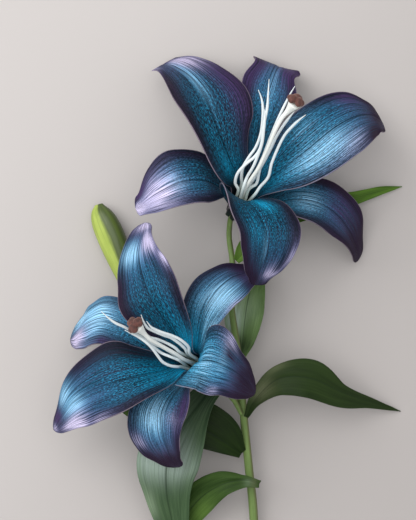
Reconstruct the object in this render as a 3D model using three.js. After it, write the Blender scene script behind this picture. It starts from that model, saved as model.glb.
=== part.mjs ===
// A cut lily stem with two open flowers, one green bud and six leaves, lying on its back.
// Millimetres, +Z up. The stem runs along Y with its cut end towards -Y, and the flowers face up.
import * as THREE from 'three';
import { mergeVertices } from 'three/addons/utils/BufferGeometryUtils.js';

// ---- driving dimensions ----

const STEM_RADIUS = 2.9;
const UPPER_STALK_RADIUS = 1.8;
const FLOWER_STALK_RADIUS = 2.1;
const BUD_STALK_RADIUS = 1.6;
const RECEPTACLE_RADIUS = 3.9;
const RECEPTACLE_START = 0.97;

const TEPAL_THICKNESS = 1.2;
const LEAF_THICKNESS = 1.1;
const BLADE_STEPS_LONG = 14;
const BLADE_STEPS_WIDE = 8;
const TIP_SPAN = 0.07; // share of a blade's length over which its tip rounds off

const FILAMENT_RADIUS = 0.8;
const STYLE_RADIUS = 1.3;
const OVARY_RADIUS = 2.2;
const STIGMA_RADIUS = 4.6;
const STIGMA_HEIGHT_RATIO = 0.62;
const STIGMA_LOBE_DEPTH = 0.16;

// The bud's radius from its stalk to its tip.
const BUD_GIRTHS = [[2.6], [4.6], [6.6], [8.4], [9.3], [8.6], [6.0], [2.2]];

// Filaments stand in a ring round the ovary: out from the axis, sideways, up the axis.
const FILAMENT_RING = [
  [3.9, 0, 4],
  [4.3, 0, 13],
];

// Where each flower sits on its stalk, and the way it faces.
const FLOWERS = {
  upper: { base: [1.5, 98, 30], axis: [0.3, 0.5, 0.81] },
  lower: { base: [-19.5, -2, 36], axis: [-0.3, 0.22, 0.93] },
};

// Every tepal leaves its flower's base in a narrow claw before it widens.
// A row is: out from the axis, sideways, up the axis, half width left, half width right,
// twist in degrees, and how far each half curls up in degrees. All blades use this row.
const CLAWS = {
  inner: [
    [5, 0, 1, 1.8, 1.8, 0, 10],
    [6.5, 0, 13, 4, 4, 0, 30],
  ],
  outer: [
    [7.5, 0, 1, 1.8, 1.8, 0, 10],
    [10.5, 0, 12, 4.5, 4.5, 0, 20],
  ],
};

// ---- where the midrib of each tepal runs, and how wide, twisted and curled it is there ----

const TEPALS = [
  {
    name: 'upper_inner_left',
    flower: 'upper',
    ring: 'inner',
    heading: 132,
    stations: [
      [10.5, -3.5, 25, 9.5, 9.5, 0, 30],
      [20.5, -0.5, 38, 17, 14.5, 0, 20],
      [38.5, -1.5, 48.5, 20, 25, 0, 10],
      [60, -9.5, 49.5, 21.5, 29, 0, 5],
      [80.5, -17, 43, 18.5, 22, 0, 0],
      [97.5, -20.5, 32.5, 12, 19.5, 0, -5],
      [105, -21, 25, 11, 12.5, 0, -5],
      [106.5, -20, 21, 9, 11, 0, 0],
    ],
  },
  {
    name: 'upper_inner_right',
    flower: 'upper',
    ring: 'inner',
    heading: 20,
    stations: [
      [10, 2.5, 25, 7, 7, 0, 25],
      [18.5, 3.5, 41, 16, 15, 0, 20],
      [32.5, 5, 60, 24.5, 24.5, 0, 12],
      [54, 14.5, 68.5, 24, 24, 0, 5],
      [74.5, 22, 68, 19, 20, 0, 0],
      [89.5, 24.5, 62, 11, 15, 0, -5],
      [97.5, 22.5, 56.5, 7.5, 11, 0, -5],
      [101, 20, 52.5, 6.5, 8, 0, 0],
    ],
  },
  {
    name: 'upper_inner_front',
    flower: 'upper',
    ring: 'inner',
    heading: 268,
    stations: [
      [6.5, 1, 25.5, 9, 18, 0, 45],
      [15, 5.5, 32.5, 20, 23.5, 0, 30],
      [30, 11.5, 34, 23.5, 18, 0, 15],
      [40, 14.5, 26, 19.5, 15.5, 0, 5],
      [46, 16, 11, 14.5, 10, 0, -5],
      [48, 17.5, 3, 8, 6, 0, -5],
      [49, 18, -2.5, 5.5, 4.5, 0, 0],
    ],
  },
  {
    name: 'upper_outer_top',
    flower: 'upper',
    ring: 'outer',
    heading: 78,
    stations: [
      [27.5, 0, 29, 7, 7, 0, 30],
      [49, 3.5, 42, 14, 13, 0, 15],
      [68.5, 4.5, 49.5, 19.5, 18, 0, 5],
      [85.5, 3.5, 50.5, 15.5, 13.5, 0, -5],
      [96, 0, 42.5, 18, 14.5, 0, 0],
      [97, -5, 32.5, 0.5, 0.5, 0, 0],
    ],
  },
  {
    name: 'upper_outer_right',
    flower: 'upper',
    ring: 'outer',
    heading: 325,
    stations: [
      [14.5, 11.5, 14, 14, 14, 0, 30],
      [25, 22.5, 23, 20.5, 20.5, 0, 15],
      [39.5, 30.5, 27, 19.5, 18, 0, 5],
      [53.5, 35.5, 23, 19, 15.5, 0, 0],
      [66.5, 39, 13, 16, 11, 0, 0],
      [76.5, 41, 0.5, 8.5, 7, 0, 0],
      [82, 41, -9.5, 6.5, 5.5, 0, 0],
    ],
  },
  {
    name: 'upper_outer_left',
    flower: 'upper',
    ring: 'outer',
    heading: 200,
    stations: [
      [8.5, -9.5, 16.5, 8.5, 8.5, 0, 15],
      [23, -15, 24, 18.5, 20, 0, 15],
      [40, -16, 24, 17.5, 24, 0, 5],
      [52.5, -16, 14, 13.5, 19, 0, 0],
      [59.5, -16.5, 2, 8, 9, 0, -5],
      [62, -17.5, -5, 6, 6.5, 0, 0],
    ],
  },
  {
    name: 'lower_inner_top',
    flower: 'lower',
    ring: 'inner',
    heading: 108,
    stations: [
      [6.5, -0.5, 30, 5, 6, 0, 30],
      [15, -0.5, 44.5, 10.5, 13.5, 0, 20],
      [34.5, 2, 61.5, 20.5, 20.5, 0, 10],
      [52.5, 3, 61, 17.5, 19.5, 0, 5],
      [68.5, 2.5, 55.5, 14, 14, 0, 0],
      [83, -1, 46.5, 10.5, 7, 0, -5],
      [92.5, -4, 40.5, 4.5, 4, 0, 0],
    ],
  },
  {
    name: 'lower_inner_right',
    flower: 'lower',
    ring: 'inner',
    heading: 350,
    stations: [
      [9, -1, 34, 7, 20.5, -30, 8],
      [16.5, 0, 39, 22.5, 21.5, -8, 8],
      [25, -1, 38.5, 21.5, 21.5, 0, 0],
      [32, -3, 32, 15, 18.5, 0, -10],
      [38, -7, 19.5, 11, 14.5, 0, -10],
      [41.5, -13, 5.5, 4.5, 4.5, 0, 0],
    ],
  },
  {
    name: 'lower_inner_left',
    flower: 'lower',
    ring: 'inner',
    heading: 208,
    stations: [
      [8, -1.5, 23.5, 6.5, 5.5, 0, 25],
      [16, 0, 37, 12, 12, 0, 20],
      [26.5, 0.5, 53.5, 16.5, 22, 0, 10],
      [41.5, -2.5, 58, 21, 26.5, 0, 5],
      [58.5, -7, 55, 21, 21, 0, 0],
      [75, -10, 45.5, 18.5, 14.5, 0, 0],
      [90, -9, 33, 10.5, 7, 0, -5],
      [100.5, -8, 23, 4.5, 3.5, 0, 0],
    ],
  },
  {
    name: 'lower_outer_right',
    flower: 'lower',
    ring: 'outer',
    heading: 48,
    stations: [
      [11, 3.5, 22.5, 9, 9, 0, 30],
      [27.5, 11.5, 27.5, 14, 14, 0, 15],
      [43.5, 16.5, 23.5, 16, 17, 0, 5],
      [58, 17.5, 15, 13.5, 16, 0, 0],
      [67, 16, 3.5, 8.5, 10, 0, 0],
      [74, 15.5, -6.5, 4, 4, 0, 0],
    ],
  },
  {
    name: 'lower_outer_bottom',
    flower: 'lower',
    ring: 'outer',
    heading: 272,
    stations: [
      [11, -5.5, 16, 8, 8, 0, 30],
      [20.5, -13, 25, 17, 17, 0, 15],
      [33, -18, 29.5, 17, 21, 0, 5],
      [46, -19.5, 25, 12.5, 22, 0, 0],
      [55.5, -19, 15, 8.5, 18.5, 0, -5],
      [60.5, -18.5, 7, 5.5, 11.5, 0, -5],
      [64, -17, -0.5, 5, 6, 0, 0],
    ],
  },
  {
    name: 'lower_outer_left',
    flower: 'lower',
    ring: 'outer',
    heading: 156,
    stations: [
      [12, -1, 23, 6, 7, 0, 20],
      [27, -2.5, 32, 12, 13, 0, 10],
      [43, -5, 39.5, 16, 15, 0, 5],
      [58.5, -4.5, 42.5, 17.5, 14.5, 0, 0],
      [70.5, 2, 35.5, 19, 12.5, 0, 0],
      [78, 9, 27, 14.5, 11, 0, 0],
      [83.5, 15.5, 21, 5.5, 5.5, 0, 0],
    ],
  },
];

// A leaf's row is the same, but starts with x, y and z.
const LEAVES = [
  {
    name: 'leaf_upper',
    stations: [
      [4, 67.5, 29, 2.5, 2.5, 0, 40],
      [13, 76.5, 27, 8, 6, 0, 30],
      [35.5, 93.5, 22, 8, 5, 0, 20],
      [61, 103.5, 16, 7, 6, 0, 15],
      [82.5, 109, 10, 4.5, 4.5, 0, 10],
      [100, 114, 5, 2.8, 2.8, 0, 5],
      [115, 117, 0.5, 0.4, 0.4, 0, 0],
    ],
  },
  {
    name: 'leaf_middle',
    stations: [
      [7.5, 3.5, 20, 2.5, 2.5, 0, 20],
      [8.5, 14.5, 17, 9, 8, 0, 15],
      [10, 29.5, 15, 14, 11.5, 0, 10],
      [12.5, 44, 13, 13, 11, 0, 10],
      [16.5, 57.5, 10, 8, 7, 0, 5],
      [21, 69.5, 7, 0.4, 0.4, 0, 0],
    ],
  },
  {
    name: 'leaf_right',
    stations: [
      [10.5, -35.5, 22, 1.5, 1.5, 0, 20],
      [17, -22.5, 31, 4.5, 5, 0, 25],
      [31.5, -9.5, 38, 9, 11, 0, 20],
      [52, -9, 38, 12.5, 13, 0, 15],
      [73.5, -18.5, 28, 5, 10.5, 0, 10],
      [94, -26.5, 13, 3, 4, 0, 5],
      [114, -33, 0.5, 0.4, 0.4, 0, 0],
    ],
  },
  {
    name: 'leaf_left',
    stations: [
      [7.5, -60, 19, 3, 4.5, 0, 30],
      [-5.5, -50.5, 24, 9, 16, 0, 20],
      [-23, -40.5, 26, 14, 18, 0, 15],
      [-43, -34, 22, 13, 12, 0, 10],
      [-59.5, -32.5, 14, 8, 7, 0, 5],
      [-73, -32.5, 6, 0.4, 0.4, 0, 0],
    ],
  },
  {
    name: 'leaf_front',
    stations: [
      [4, 7, 31, 2.5, 2.5, 0, 30],
      [-6.5, -7.5, 39, 7, 7, 0, 25],
      [-19, -23, 43, 9, 9, 0, 20],
      [-32.5, -42.5, 43, 18, 17, 0, 10],
      [-41, -63.5, 38, 21, 20, 0, 10],
      [-41.5, -84, 30, 16, 15, 0, 10],
      [-38, -104.5, 21, 11, 11, 0, 8],
      [-35, -124.5, 11, 6.5, 6.5, 0, 5],
      [-30.5, -144.5, 0.5, 0.4, 0.4, 0, 0],
    ],
  },
  {
    name: 'leaf_lower',
    stations: [
      [19.5, -79.5, 22, 2.5, 2.5, 0, 30],
      [9, -76.5, 27, 5, 3.5, 0, 20],
      [-5.5, -79.5, 26, 8, 9.5, 0, 15],
      [-20, -89.5, 19, 11, 11, 0, 10],
      [-32.5, -106.5, 11, 9, 9, 0, 8],
      [-43, -125, 5, 5, 5, 0, 5],
      [-52, -143, 0.5, 0.4, 0.4, 0, 0],
    ],
  },
];

// Stalks, filaments and pistils follow paths of x, y and z.
const MAIN_STEM_PATH = [
  [17.5, -204, 3],
  [17, -158.5, 5],
  [16, -104, 10],
  [12.5, -68.5, 15],
  [10, -44, 18],
  [8.5, -27.5, 20],
  [6.5, -5.5, 22],
  [4.5, 12, 24],
  [1, 36.5, 26],
  [0.5, 51.5, 27],
  [1.5, 66.5, 26],
  [-0.5, 82.5, 24],
  [0, 93, 26],
  [1.5, 98, 29],
];
const LOWER_STALK_PATH = [
  [7.5, -33.5, 23.5],
  [1.5, -22.5, 26],
  [-8, -15, 29],
  [-16, -7, 32],
  [-19.5, -2.5, 35],
];
const BUD_STALK_PATH = [
  [6, -26.5, 16],
  [-3.5, -16.5, 18],
  [-23, -1, 20],
  [-43, 16.5, 18],
  [-57.5, 31.5, 15],
  [-60, 37, 14],
];
const BUD_PATH = [
  [-60, 37.5, 13],
  [-64, 47, 12],
  [-71, 65.5, 10.5],
  [-79, 85.5, 9.5],
  [-85, 98.5, 9],
  [-87, 105, 9],
];
const FILAMENTS = {
  upper: [
    {
      heading: 200,
      path: [
        [5, 112.5, 53.5],
        [3, 117.5, 58],
        [4.5, 123.5, 64],
        [9.5, 129, 69],
        [15.5, 134, 74],
        [19, 140.5, 79],
        [20.5, 152.5, 86],
        [22.5, 163, 92],
        [23, 171.5, 97],
        [23.5, 180.5, 101],
      ],
    },
    {
      heading: 120,
      path: [
        [7, 116, 50],
        [7, 121.5, 56],
        [8, 127.5, 62],
        [11.5, 133.5, 66],
        [16, 140, 70],
        [19, 148.5, 76],
        [20, 157.5, 82],
        [20, 164, 86],
        [19, 169.5, 89],
        [17, 174.5, 92],
      ],
    },
    {
      heading: 255,
      path: [
        [8, 114, 58],
        [10.5, 121, 62],
        [14, 127, 69],
        [17, 134, 76],
        [19.5, 141.5, 84],
        [20.5, 150.5, 91],
        [21, 158, 96],
        [20.5, 162, 99],
      ],
    },
    {
      heading: 310,
      path: [
        [11.5, 113, 51],
        [16.5, 117, 55],
        [18, 123, 60],
        [19.5, 130, 66],
        [22.5, 139, 74],
        [25.5, 147, 81],
        [29, 155.5, 88],
        [32.5, 163, 94],
        [36.5, 171, 99],
        [39.5, 176, 102],
      ],
    },
    {
      heading: 350,
      path: [
        [15.5, 110, 52],
        [19, 115, 56],
        [24, 121, 63],
        [26, 129.5, 70],
        [30, 139.5, 77],
        [34, 147, 83],
        [39, 152.5, 89],
        [43, 156, 94],
        [46.5, 158.5, 98],
      ],
    },
    {
      heading: 50,
      path: [
        [11.5, 114.5, 46],
        [15.5, 121, 54],
        [20.5, 129.5, 61],
        [25, 138, 68],
        [29, 146.5, 76],
        [33.5, 153.5, 83],
        [37, 158, 87],
        [39.5, 161, 90],
      ],
    },
  ],
  lower: [
    {
      heading: 255,
      path: [
        [-31, -0.5, 60],
        [-34, 0, 68],
        [-38.5, 1, 74],
        [-43, 3.5, 79],
        [-46, 7.5, 84],
        [-49, 12, 89],
        [-52.5, 16, 94],
        [-57, 19.5, 97],
        [-61.5, 22, 102],
        [-66, 24.5, 106],
      ],
    },
    {
      heading: 75,
      path: [
        [-27.5, 8, 63],
        [-29, 11.5, 71],
        [-33, 15.5, 77],
        [-38, 19, 82],
        [-43, 21, 87],
        [-47.5, 23, 91],
        [-52, 25.5, 96],
        [-54.5, 29.5, 100],
        [-56, 34, 104],
      ],
    },
    {
      heading: 20,
      path: [
        [-26, 8, 66],
        [-27, 13, 75],
        [-31.5, 17.5, 83],
        [-37, 20.5, 88],
        [-42.5, 22.5, 93],
        [-47, 24.5, 97],
        [-50, 26.5, 101],
        [-52.5, 30, 105],
      ],
    },
    {
      heading: 165,
      path: [
        [-31, 3.5, 60],
        [-34.5, 6.5, 67],
        [-37.5, 9, 72],
        [-43, 12.5, 77],
        [-48, 15, 82],
        [-53, 18, 88],
        [-58, 21, 95],
        [-65.5, 26, 104],
        [-71.5, 29, 110],
        [-76, 32.5, 114],
        [-80, 36.5, 118],
      ],
    },
    {
      heading: 115,
      path: [
        [-32, 9, 69],
        [-35.5, 12.5, 76],
        [-40.5, 15.5, 80],
        [-46, 18, 85],
        [-51, 19.5, 88],
        [-54.5, 22.5, 92],
        [-57.5, 25, 96],
      ],
    },
    {
      heading: 210,
      path: [
        [-32, 3.5, 67],
        [-35.5, 5.5, 72],
        [-39, 7, 75],
        [-44.5, 9.5, 76],
        [-49, 13.5, 80],
        [-53.5, 16.5, 85],
        [-57, 19, 89],
        [-59.5, 21, 92],
      ],
    },
  ],
};
const PISTILS = {
  upper: {
    path: [
      [8.5, 112, 52],
      [12.5, 119, 61],
      [17.5, 126.5, 69],
      [21.5, 135, 77],
      [25, 143, 84],
      [28, 150, 90],
      [31.5, 156.5, 95],
      [35.5, 161, 99],
      [39, 165, 103],
    ],
    stigma: [40.5, 168, 105],
  },
  lower: {
    path: [
      [-29.5, 4.5, 66],
      [-35, 8.5, 75],
      [-40.5, 12, 82],
      [-46, 15.5, 89],
      [-50.5, 18.5, 95],
      [-54.5, 22.5, 100],
      [-58.5, 27, 105.5],
    ],
    stigma: [-60.5, 28.5, 108],
  },
};
// ---- materials ----

const COLOURS = {
  stem: { color: 0x6f8a45, roughness: 0.5 },
  leaf: { color: 0x3d5a2c, roughness: 0.4 },
  bud: { color: 0x9fb04a, roughness: 0.5 },
  tepal: { color: 0x1f6f94, roughness: 0.4 },
  filament: { color: 0xd8e2e4, roughness: 0.5 },
  style: { color: 0xe6e6d8, roughness: 0.5 },
  stigma: { color: 0x6b2f28, roughness: 0.8 },
};

const object = new THREE.Group();
object.name = 'lily_stem';

function addPiece(name, geometry, colourName) {
  const settings = COLOURS[colourName];
  const material = new THREE.MeshStandardMaterial({ ...settings, metalness: 0 });
  material.name = name;
  const mesh = new THREE.Mesh(geometry, material);
  mesh.name = name;
  object.add(mesh);
}

// ---- smooth rows: a spline through every number of a row ----

function rowAt(rows, fraction) {
  const spans = rows.length - 1;
  const place = fraction * spans;
  const index = Math.min(Math.floor(place), spans - 1);
  const t = place - index;
  const before = rows[index - 1] ?? rows[index].map((v, k) => 2 * v - rows[index + 1][k]);
  const after = rows[index + 2] ?? rows[index + 1].map((v, k) => 2 * v - rows[index][k]);
  return rows[index].map((start, k) => {
    const end = rows[index + 1][k];
    const a = before[k];
    const d = after[k];
    return 0.5 * (2 * start + (end - a) * t + (2 * a - 5 * start + 4 * end - d) * t * t
      + (3 * start - a - 3 * end + d) * t * t * t);
  });
}

// ---- blades: the curved, cupped, thin solids that tepals and leaves are made of ----

// A blade's sections are evenly spaced, with a few more where its tip rounds off.
const BLADE_FRACTIONS = [
  ...Array.from({ length: BLADE_STEPS_LONG }, (_, i) => i / BLADE_STEPS_LONG),
  1 - 0.5 * TIP_SPAN,
  1 - 0.15 * TIP_SPAN,
  1,
];

function tipRounding(fraction) {
  const left = Math.min((1 - fraction) / TIP_SPAN, 1);
  return Math.sqrt(1 - (1 - left) ** 2);
}

function bladeGeometry(rows, across, thickness) {
  const corners = [];
  const step = 0.5 / BLADE_STEPS_LONG;
  for (const fraction of BLADE_FRACTIONS) {
    const row = rowAt(rows, fraction);
    row[3] *= tipRounding(fraction);
    row[4] *= tipRounding(fraction);
    const centre = new THREE.Vector3(...row);
    const ahead = new THREE.Vector3(...rowAt(rows, Math.min(fraction + step, 1)));
    const behind = new THREE.Vector3(...rowAt(rows, Math.max(fraction - step, 0)));
    const along = ahead.sub(behind).normalize();
    const side = across(along);
    side.addScaledVector(along, -side.dot(along)).normalize();
    side.applyAxisAngle(along, THREE.MathUtils.degToRad(row[5]));
    const face = new THREE.Vector3().crossVectors(along, side);
    corners.push(crossSection(centre, side, face, row, thickness));
  }
  return closedShell(corners);
}

function crossSection(centre, side, face, row, thickness) {
  const top = [];
  const underside = [];
  const curl = THREE.MathUtils.degToRad(row[6]) + 0.001;
  for (let j = 0; j <= BLADE_STEPS_WIDE; j += 1) {
    const v = 1 - 2 * j / BLADE_STEPS_WIDE;
    const halfWidth = Math.max(v >= 0 ? row[3] : row[4], 0.4);
    const turned = curl * v;
    const sideways = halfWidth / curl * Math.sin(turned);
    const lifted = halfWidth / curl * (1 - Math.cos(turned));
    const point = centre.clone().addScaledVector(side, sideways).addScaledVector(face, lifted);
    const normal = face.clone().multiplyScalar(Math.cos(turned));
    normal.addScaledVector(side, -Math.sin(turned));
    const half = thickness * 0.5 * (1 - 0.6 * v * v);
    top.push(point.clone().addScaledVector(normal, half));
    underside.push(point.clone().addScaledVector(normal, -half));
  }
  return [...top, ...underside.reverse()];
}

// Joins a run of closed cross-sections, all with the same number of corners, into one body.
function closedShell(sections) {
  const positions = sections.flat().flatMap((corner) => corner.toArray());
  const size = sections[0].length;
  const indices = [];
  for (let i = 0; i < sections.length - 1; i += 1) {
    for (let j = 0; j < size; j += 1) {
      const next = (j + 1) % size;
      const a = i * size + j;
      const b = i * size + next;
      const c = a + size;
      const d = b + size;
      indices.push(a, b, d, a, d, c);
    }
  }
  const lastStart = (sections.length - 1) * size;
  for (let j = 0; j < size / 2 - 1; j += 1) {
    const k = size - 1 - j;
    indices.push(j, k, k - 1, j, k - 1, j + 1);
    indices.push(lastStart + j, lastStart + k - 1, lastStart + k);
    indices.push(lastStart + j, lastStart + j + 1, lastStart + k - 1);
  }
  const geometry = new THREE.BufferGeometry();
  geometry.setAttribute('position', new THREE.Float32BufferAttribute(positions, 3));
  geometry.setIndex(indices);
  geometry.computeVertexNormals();
  return geometry;
}

// ---- stalks: round, tapering solids along a curve ----

function stalkGeometry(path, radiusAt, sidesRound, stepsLong) {
  const curve = new THREE.CatmullRomCurve3(path.map((point) => new THREE.Vector3(...point)));
  const frames = curve.computeFrenetFrames(stepsLong, false);
  const positions = [];
  const indices = [];
  for (let i = 0; i <= stepsLong; i += 1) {
    const centre = curve.getPointAt(i / stepsLong);
    const radius = radiusAt(i / stepsLong);
    for (let j = 0; j < sidesRound; j += 1) {
      const angle = 2 * Math.PI * j / sidesRound;
      const corner = centre.clone();
      corner.addScaledVector(frames.normals[i], radius * Math.cos(angle));
      corner.addScaledVector(frames.binormals[i], radius * Math.sin(angle));
      positions.push(...corner.toArray());
    }
  }
  for (let i = 0; i < stepsLong; i += 1) {
    for (let j = 0; j < sidesRound; j += 1) {
      const next = (j + 1) % sidesRound;
      const a = i * sidesRound + j;
      const b = i * sidesRound + next;
      indices.push(a, b, b + sidesRound, a, b + sidesRound, a + sidesRound);
    }
  }
  const lastStart = stepsLong * sidesRound;
  for (let j = 1; j < sidesRound - 1; j += 1) {
    indices.push(0, j + 1, j);
    indices.push(lastStart, lastStart + j, lastStart + j + 1);
  }
  const geometry = new THREE.BufferGeometry();
  geometry.setAttribute('position', new THREE.Float32BufferAttribute(positions, 3));
  geometry.setIndex(indices);
  geometry.computeVertexNormals();
  return geometry;
}

// ---- a flower's own frame: out along a heading, sideways, and up its axis ----

function flowerFrame(flowerName, heading) {
  const flower = FLOWERS[flowerName];
  const up = new THREE.Vector3(...flower.axis).normalize();
  const east = new THREE.Vector3(1, 0, 0);
  east.addScaledVector(up, -east.dot(up)).normalize();
  const out = east.applyAxisAngle(up, THREE.MathUtils.degToRad(heading));
  const side = new THREE.Vector3().crossVectors(up, out);
  return { base: new THREE.Vector3(...flower.base), out, side, up };
}

function placed(frame, outwards, sideways, upwards) {
  const point = frame.base.clone();
  point.addScaledVector(frame.out, outwards);
  point.addScaledVector(frame.side, sideways);
  point.addScaledVector(frame.up, upwards);
  return point;
}

for (const tepal of TEPALS) {
  const frame = flowerFrame(tepal.flower, tepal.heading);
  const rows = [...CLAWS[tepal.ring], ...tepal.stations].map((row) => {
    const [outwards, sideways, upwards, ...rest] = row;
    return [...placed(frame, outwards, sideways, upwards).toArray(), ...rest];
  });
  const geometry = bladeGeometry(rows, () => frame.side.clone(), TEPAL_THICKNESS);
  addPiece(`tepal_${tepal.name}`, geometry, 'tepal');
}

for (const leaf of LEAVES) {
  const acrossLeaf = (along) => new THREE.Vector3(0, 0, 1).cross(along);
  addPiece(leaf.name, bladeGeometry(leaf.stations, acrossLeaf, LEAF_THICKNESS), 'leaf');
}

// ---- six bare filaments, one pistil and its stigma in each flower ----

// A filament keeps its thickness for most of its length, then narrows to a blunt point.
function filamentGirth(t) {
  const NARROWS_FROM = 0.85;
  return FILAMENT_RADIUS * (t < NARROWS_FROM ? 1 : 1 - 3.5 * (t - NARROWS_FROM));
}

// The pistil is a swollen ovary, then a slender style that flares under the stigma.
function pistilGirth(t) {
  const OVARY_ENDS = 0.12;
  const FLARE_STARTS = 0.92;
  const ovary = OVARY_RADIUS * Math.max(0, 1 - Math.max(0, t - OVARY_ENDS) / 0.1);
  const flare = Math.max(0, 14 * (t - FLARE_STARTS));
  return Math.max(ovary, STYLE_RADIUS + flare);
}

for (const flowerName of ['upper', 'lower']) {
  FILAMENTS[flowerName].forEach((filament, index) => {
    const frame = flowerFrame(flowerName, filament.heading);
    const foot = FILAMENT_RING.map((row) => placed(frame, ...row).toArray());
    const geometry = stalkGeometry([...foot, ...filament.path], filamentGirth, 7, 20);
    addPiece(`filament_${flowerName}_${index + 1}`, geometry, 'filament');
  });

  const frame = flowerFrame(flowerName, 0);
  const ovary = [2, 9, 16].map((up) => placed(frame, 0, 0, up).toArray());
  const pistil = PISTILS[flowerName];
  const geometry = stalkGeometry([...ovary, ...pistil.path], pistilGirth, 10, 24);
  addPiece(`pistil_${flowerName}`, geometry, 'style');
  addPiece(`stigma_${flowerName}`, stigmaGeometry(pistil), 'stigma');
}

// A three-lobed knob facing the way the style points.
function stigmaGeometry(pistil) {
  const centre = new THREE.Vector3(...pistil.stigma);
  const before = new THREE.Vector3(...pistil.path.at(-1));
  const up = centre.clone().sub(before).normalize();
  const ball = new THREE.SphereGeometry(1, 18, 10);
  ball.deleteAttribute('uv');
  ball.deleteAttribute('normal');
  const geometry = mergeVertices(ball);
  const place = geometry.attributes.position;
  const turn = new THREE.Quaternion().setFromUnitVectors(new THREE.Vector3(0, 1, 0), up);
  for (let i = 0; i < place.count; i += 1) {
    const corner = new THREE.Vector3().fromBufferAttribute(place, i);
    const lobes = 1 + STIGMA_LOBE_DEPTH * Math.cos(3 * Math.atan2(corner.z, corner.x));
    corner.x *= STIGMA_RADIUS * lobes;
    corner.z *= STIGMA_RADIUS * lobes;
    corner.y *= STIGMA_RADIUS * STIGMA_HEIGHT_RATIO;
    corner.applyQuaternion(turn).add(centre);
    place.setXYZ(i, corner.x, corner.y, corner.z);
  }
  geometry.computeVertexNormals();
  return geometry;
}

// ---- stalks and bud ----

// A stalk swells into the receptacle, the knob that the tepals grow from.
function stalkGirth(thick, thin) {
  return (t) => {
    if (t < RECEPTACLE_START) return thick + (thin - thick) * t;
    const swelling = (t - RECEPTACLE_START) / (1 - RECEPTACLE_START);
    return thin + (RECEPTACLE_RADIUS - thin) * swelling;
  };
}

const mainGirth = stalkGirth(STEM_RADIUS, UPPER_STALK_RADIUS);
addPiece('main_stem', stalkGeometry(MAIN_STEM_PATH, mainGirth, 12, 48), 'stem');

// The side stalk narrows where it leaves the main stem.
const fullGirth = stalkGirth(FLOWER_STALK_RADIUS, FLOWER_STALK_RADIUS);
const sideGirth = (t) => fullGirth(t) * Math.min(1, 0.55 + 2.25 * t);
addPiece('lower_flower_stalk', stalkGeometry(LOWER_STALK_PATH, sideGirth, 10, 20), 'stem');
addPiece('bud_stalk', stalkGeometry(BUD_STALK_PATH, () => BUD_STALK_RADIUS, 10, 16), 'stem');

const budGirth = (t) => rowAt(BUD_GIRTHS, t)[0];
addPiece('bud', stalkGeometry(BUD_PATH, budGirth, 18, 20), 'bud');

// ---- the origin: centre of the box, on the surface that the stem lies on ----

const box = new THREE.Box3().setFromObject(object);
const middle = box.getCenter(new THREE.Vector3());
for (const mesh of object.children) {
  mesh.geometry.translate(-middle.x, -middle.y, -box.min.z);
}

export default object;
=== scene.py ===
# A cut lily stem with two open blue-violet blooms, one green bud and six leaves, lying on its back.
# Metres. Each section makes one piece, or one group of like pieces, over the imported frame.
import math

import bpy
from mathutils import Matrix, Vector


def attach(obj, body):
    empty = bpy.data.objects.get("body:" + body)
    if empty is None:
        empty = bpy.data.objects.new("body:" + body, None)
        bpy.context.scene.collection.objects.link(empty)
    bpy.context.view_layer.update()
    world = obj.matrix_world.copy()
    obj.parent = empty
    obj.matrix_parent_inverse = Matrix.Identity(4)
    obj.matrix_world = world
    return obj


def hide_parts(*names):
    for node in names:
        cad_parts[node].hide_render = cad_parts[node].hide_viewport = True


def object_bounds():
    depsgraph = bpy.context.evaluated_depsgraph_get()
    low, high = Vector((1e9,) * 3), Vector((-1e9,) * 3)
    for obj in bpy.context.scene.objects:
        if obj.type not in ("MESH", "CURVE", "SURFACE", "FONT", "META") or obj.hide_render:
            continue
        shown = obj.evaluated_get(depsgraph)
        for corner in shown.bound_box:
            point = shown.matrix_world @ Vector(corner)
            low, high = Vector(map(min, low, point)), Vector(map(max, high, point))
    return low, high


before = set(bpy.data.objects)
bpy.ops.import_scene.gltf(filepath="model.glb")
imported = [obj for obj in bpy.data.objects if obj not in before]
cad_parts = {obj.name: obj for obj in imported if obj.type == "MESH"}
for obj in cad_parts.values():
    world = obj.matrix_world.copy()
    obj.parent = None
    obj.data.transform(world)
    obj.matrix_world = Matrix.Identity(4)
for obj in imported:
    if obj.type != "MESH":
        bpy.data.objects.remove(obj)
cad_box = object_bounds()

# ---- The main stem ----
# A firm green stalk, thicker at its cut end, that swells into a small knob where the upper bloom
# grows from it. It is smooth and faintly ribbed along its length. Down its right side, the side turned
# from the light, it is warmer, browner and darker: partly a brown flush, partly painted shade.

STEM_GIRTHS = (0.0030, 0.0029, 0.0027, 0.0025, 0.0022, 0.0020, 0.0018, 0.0018)
KNOB_GIRTH = 0.0039
KNOB_START = 0.97
KNOB_FLARE = 1.5
STEM_PATH = (
    (0.0175, -0.204, 0.003),
    (0.017, -0.1585, 0.005),
    (0.016, -0.104, 0.01),
    (0.0125, -0.0685, 0.015),
    (0.01, -0.044, 0.018),
    (0.0085, -0.0275, 0.02),
    (0.0065, -0.0055, 0.022),
    (0.0045, 0.012, 0.024),
    (0.001, 0.0365, 0.026),
    (0.0005, 0.0515, 0.027),
    (0.0015, 0.0665, 0.026),
    (-0.0005, 0.0825, 0.024),
    (0.0, 0.093, 0.026),
    (0.0015, 0.098, 0.029),
)


def spline_row(rows, fraction):
    """The row at a fraction of the way through the rows, with each number on a smooth curve."""
    spans = len(rows) - 1
    place = min(max(fraction, 0.0), 1.0) * spans
    index = min(int(place), spans - 1)
    t = place - index
    start, end = rows[index], rows[index + 1]
    before = rows[index - 1] if index > 0 else [2 * a - b for a, b in zip(start, end)]
    after = rows[index + 2] if index + 2 <= spans else [2 * b - a for a, b in zip(start, end)]
    row = []
    for a, b, c, d in zip(before, start, end, after):
        square = (2 * a - 5 * b + 4 * c - d) * t * t
        cube = (3 * b - a - 3 * c + d) * t * t * t
        row.append(0.5 * (2 * b + (c - a) * t + square + cube))
    return row


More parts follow.
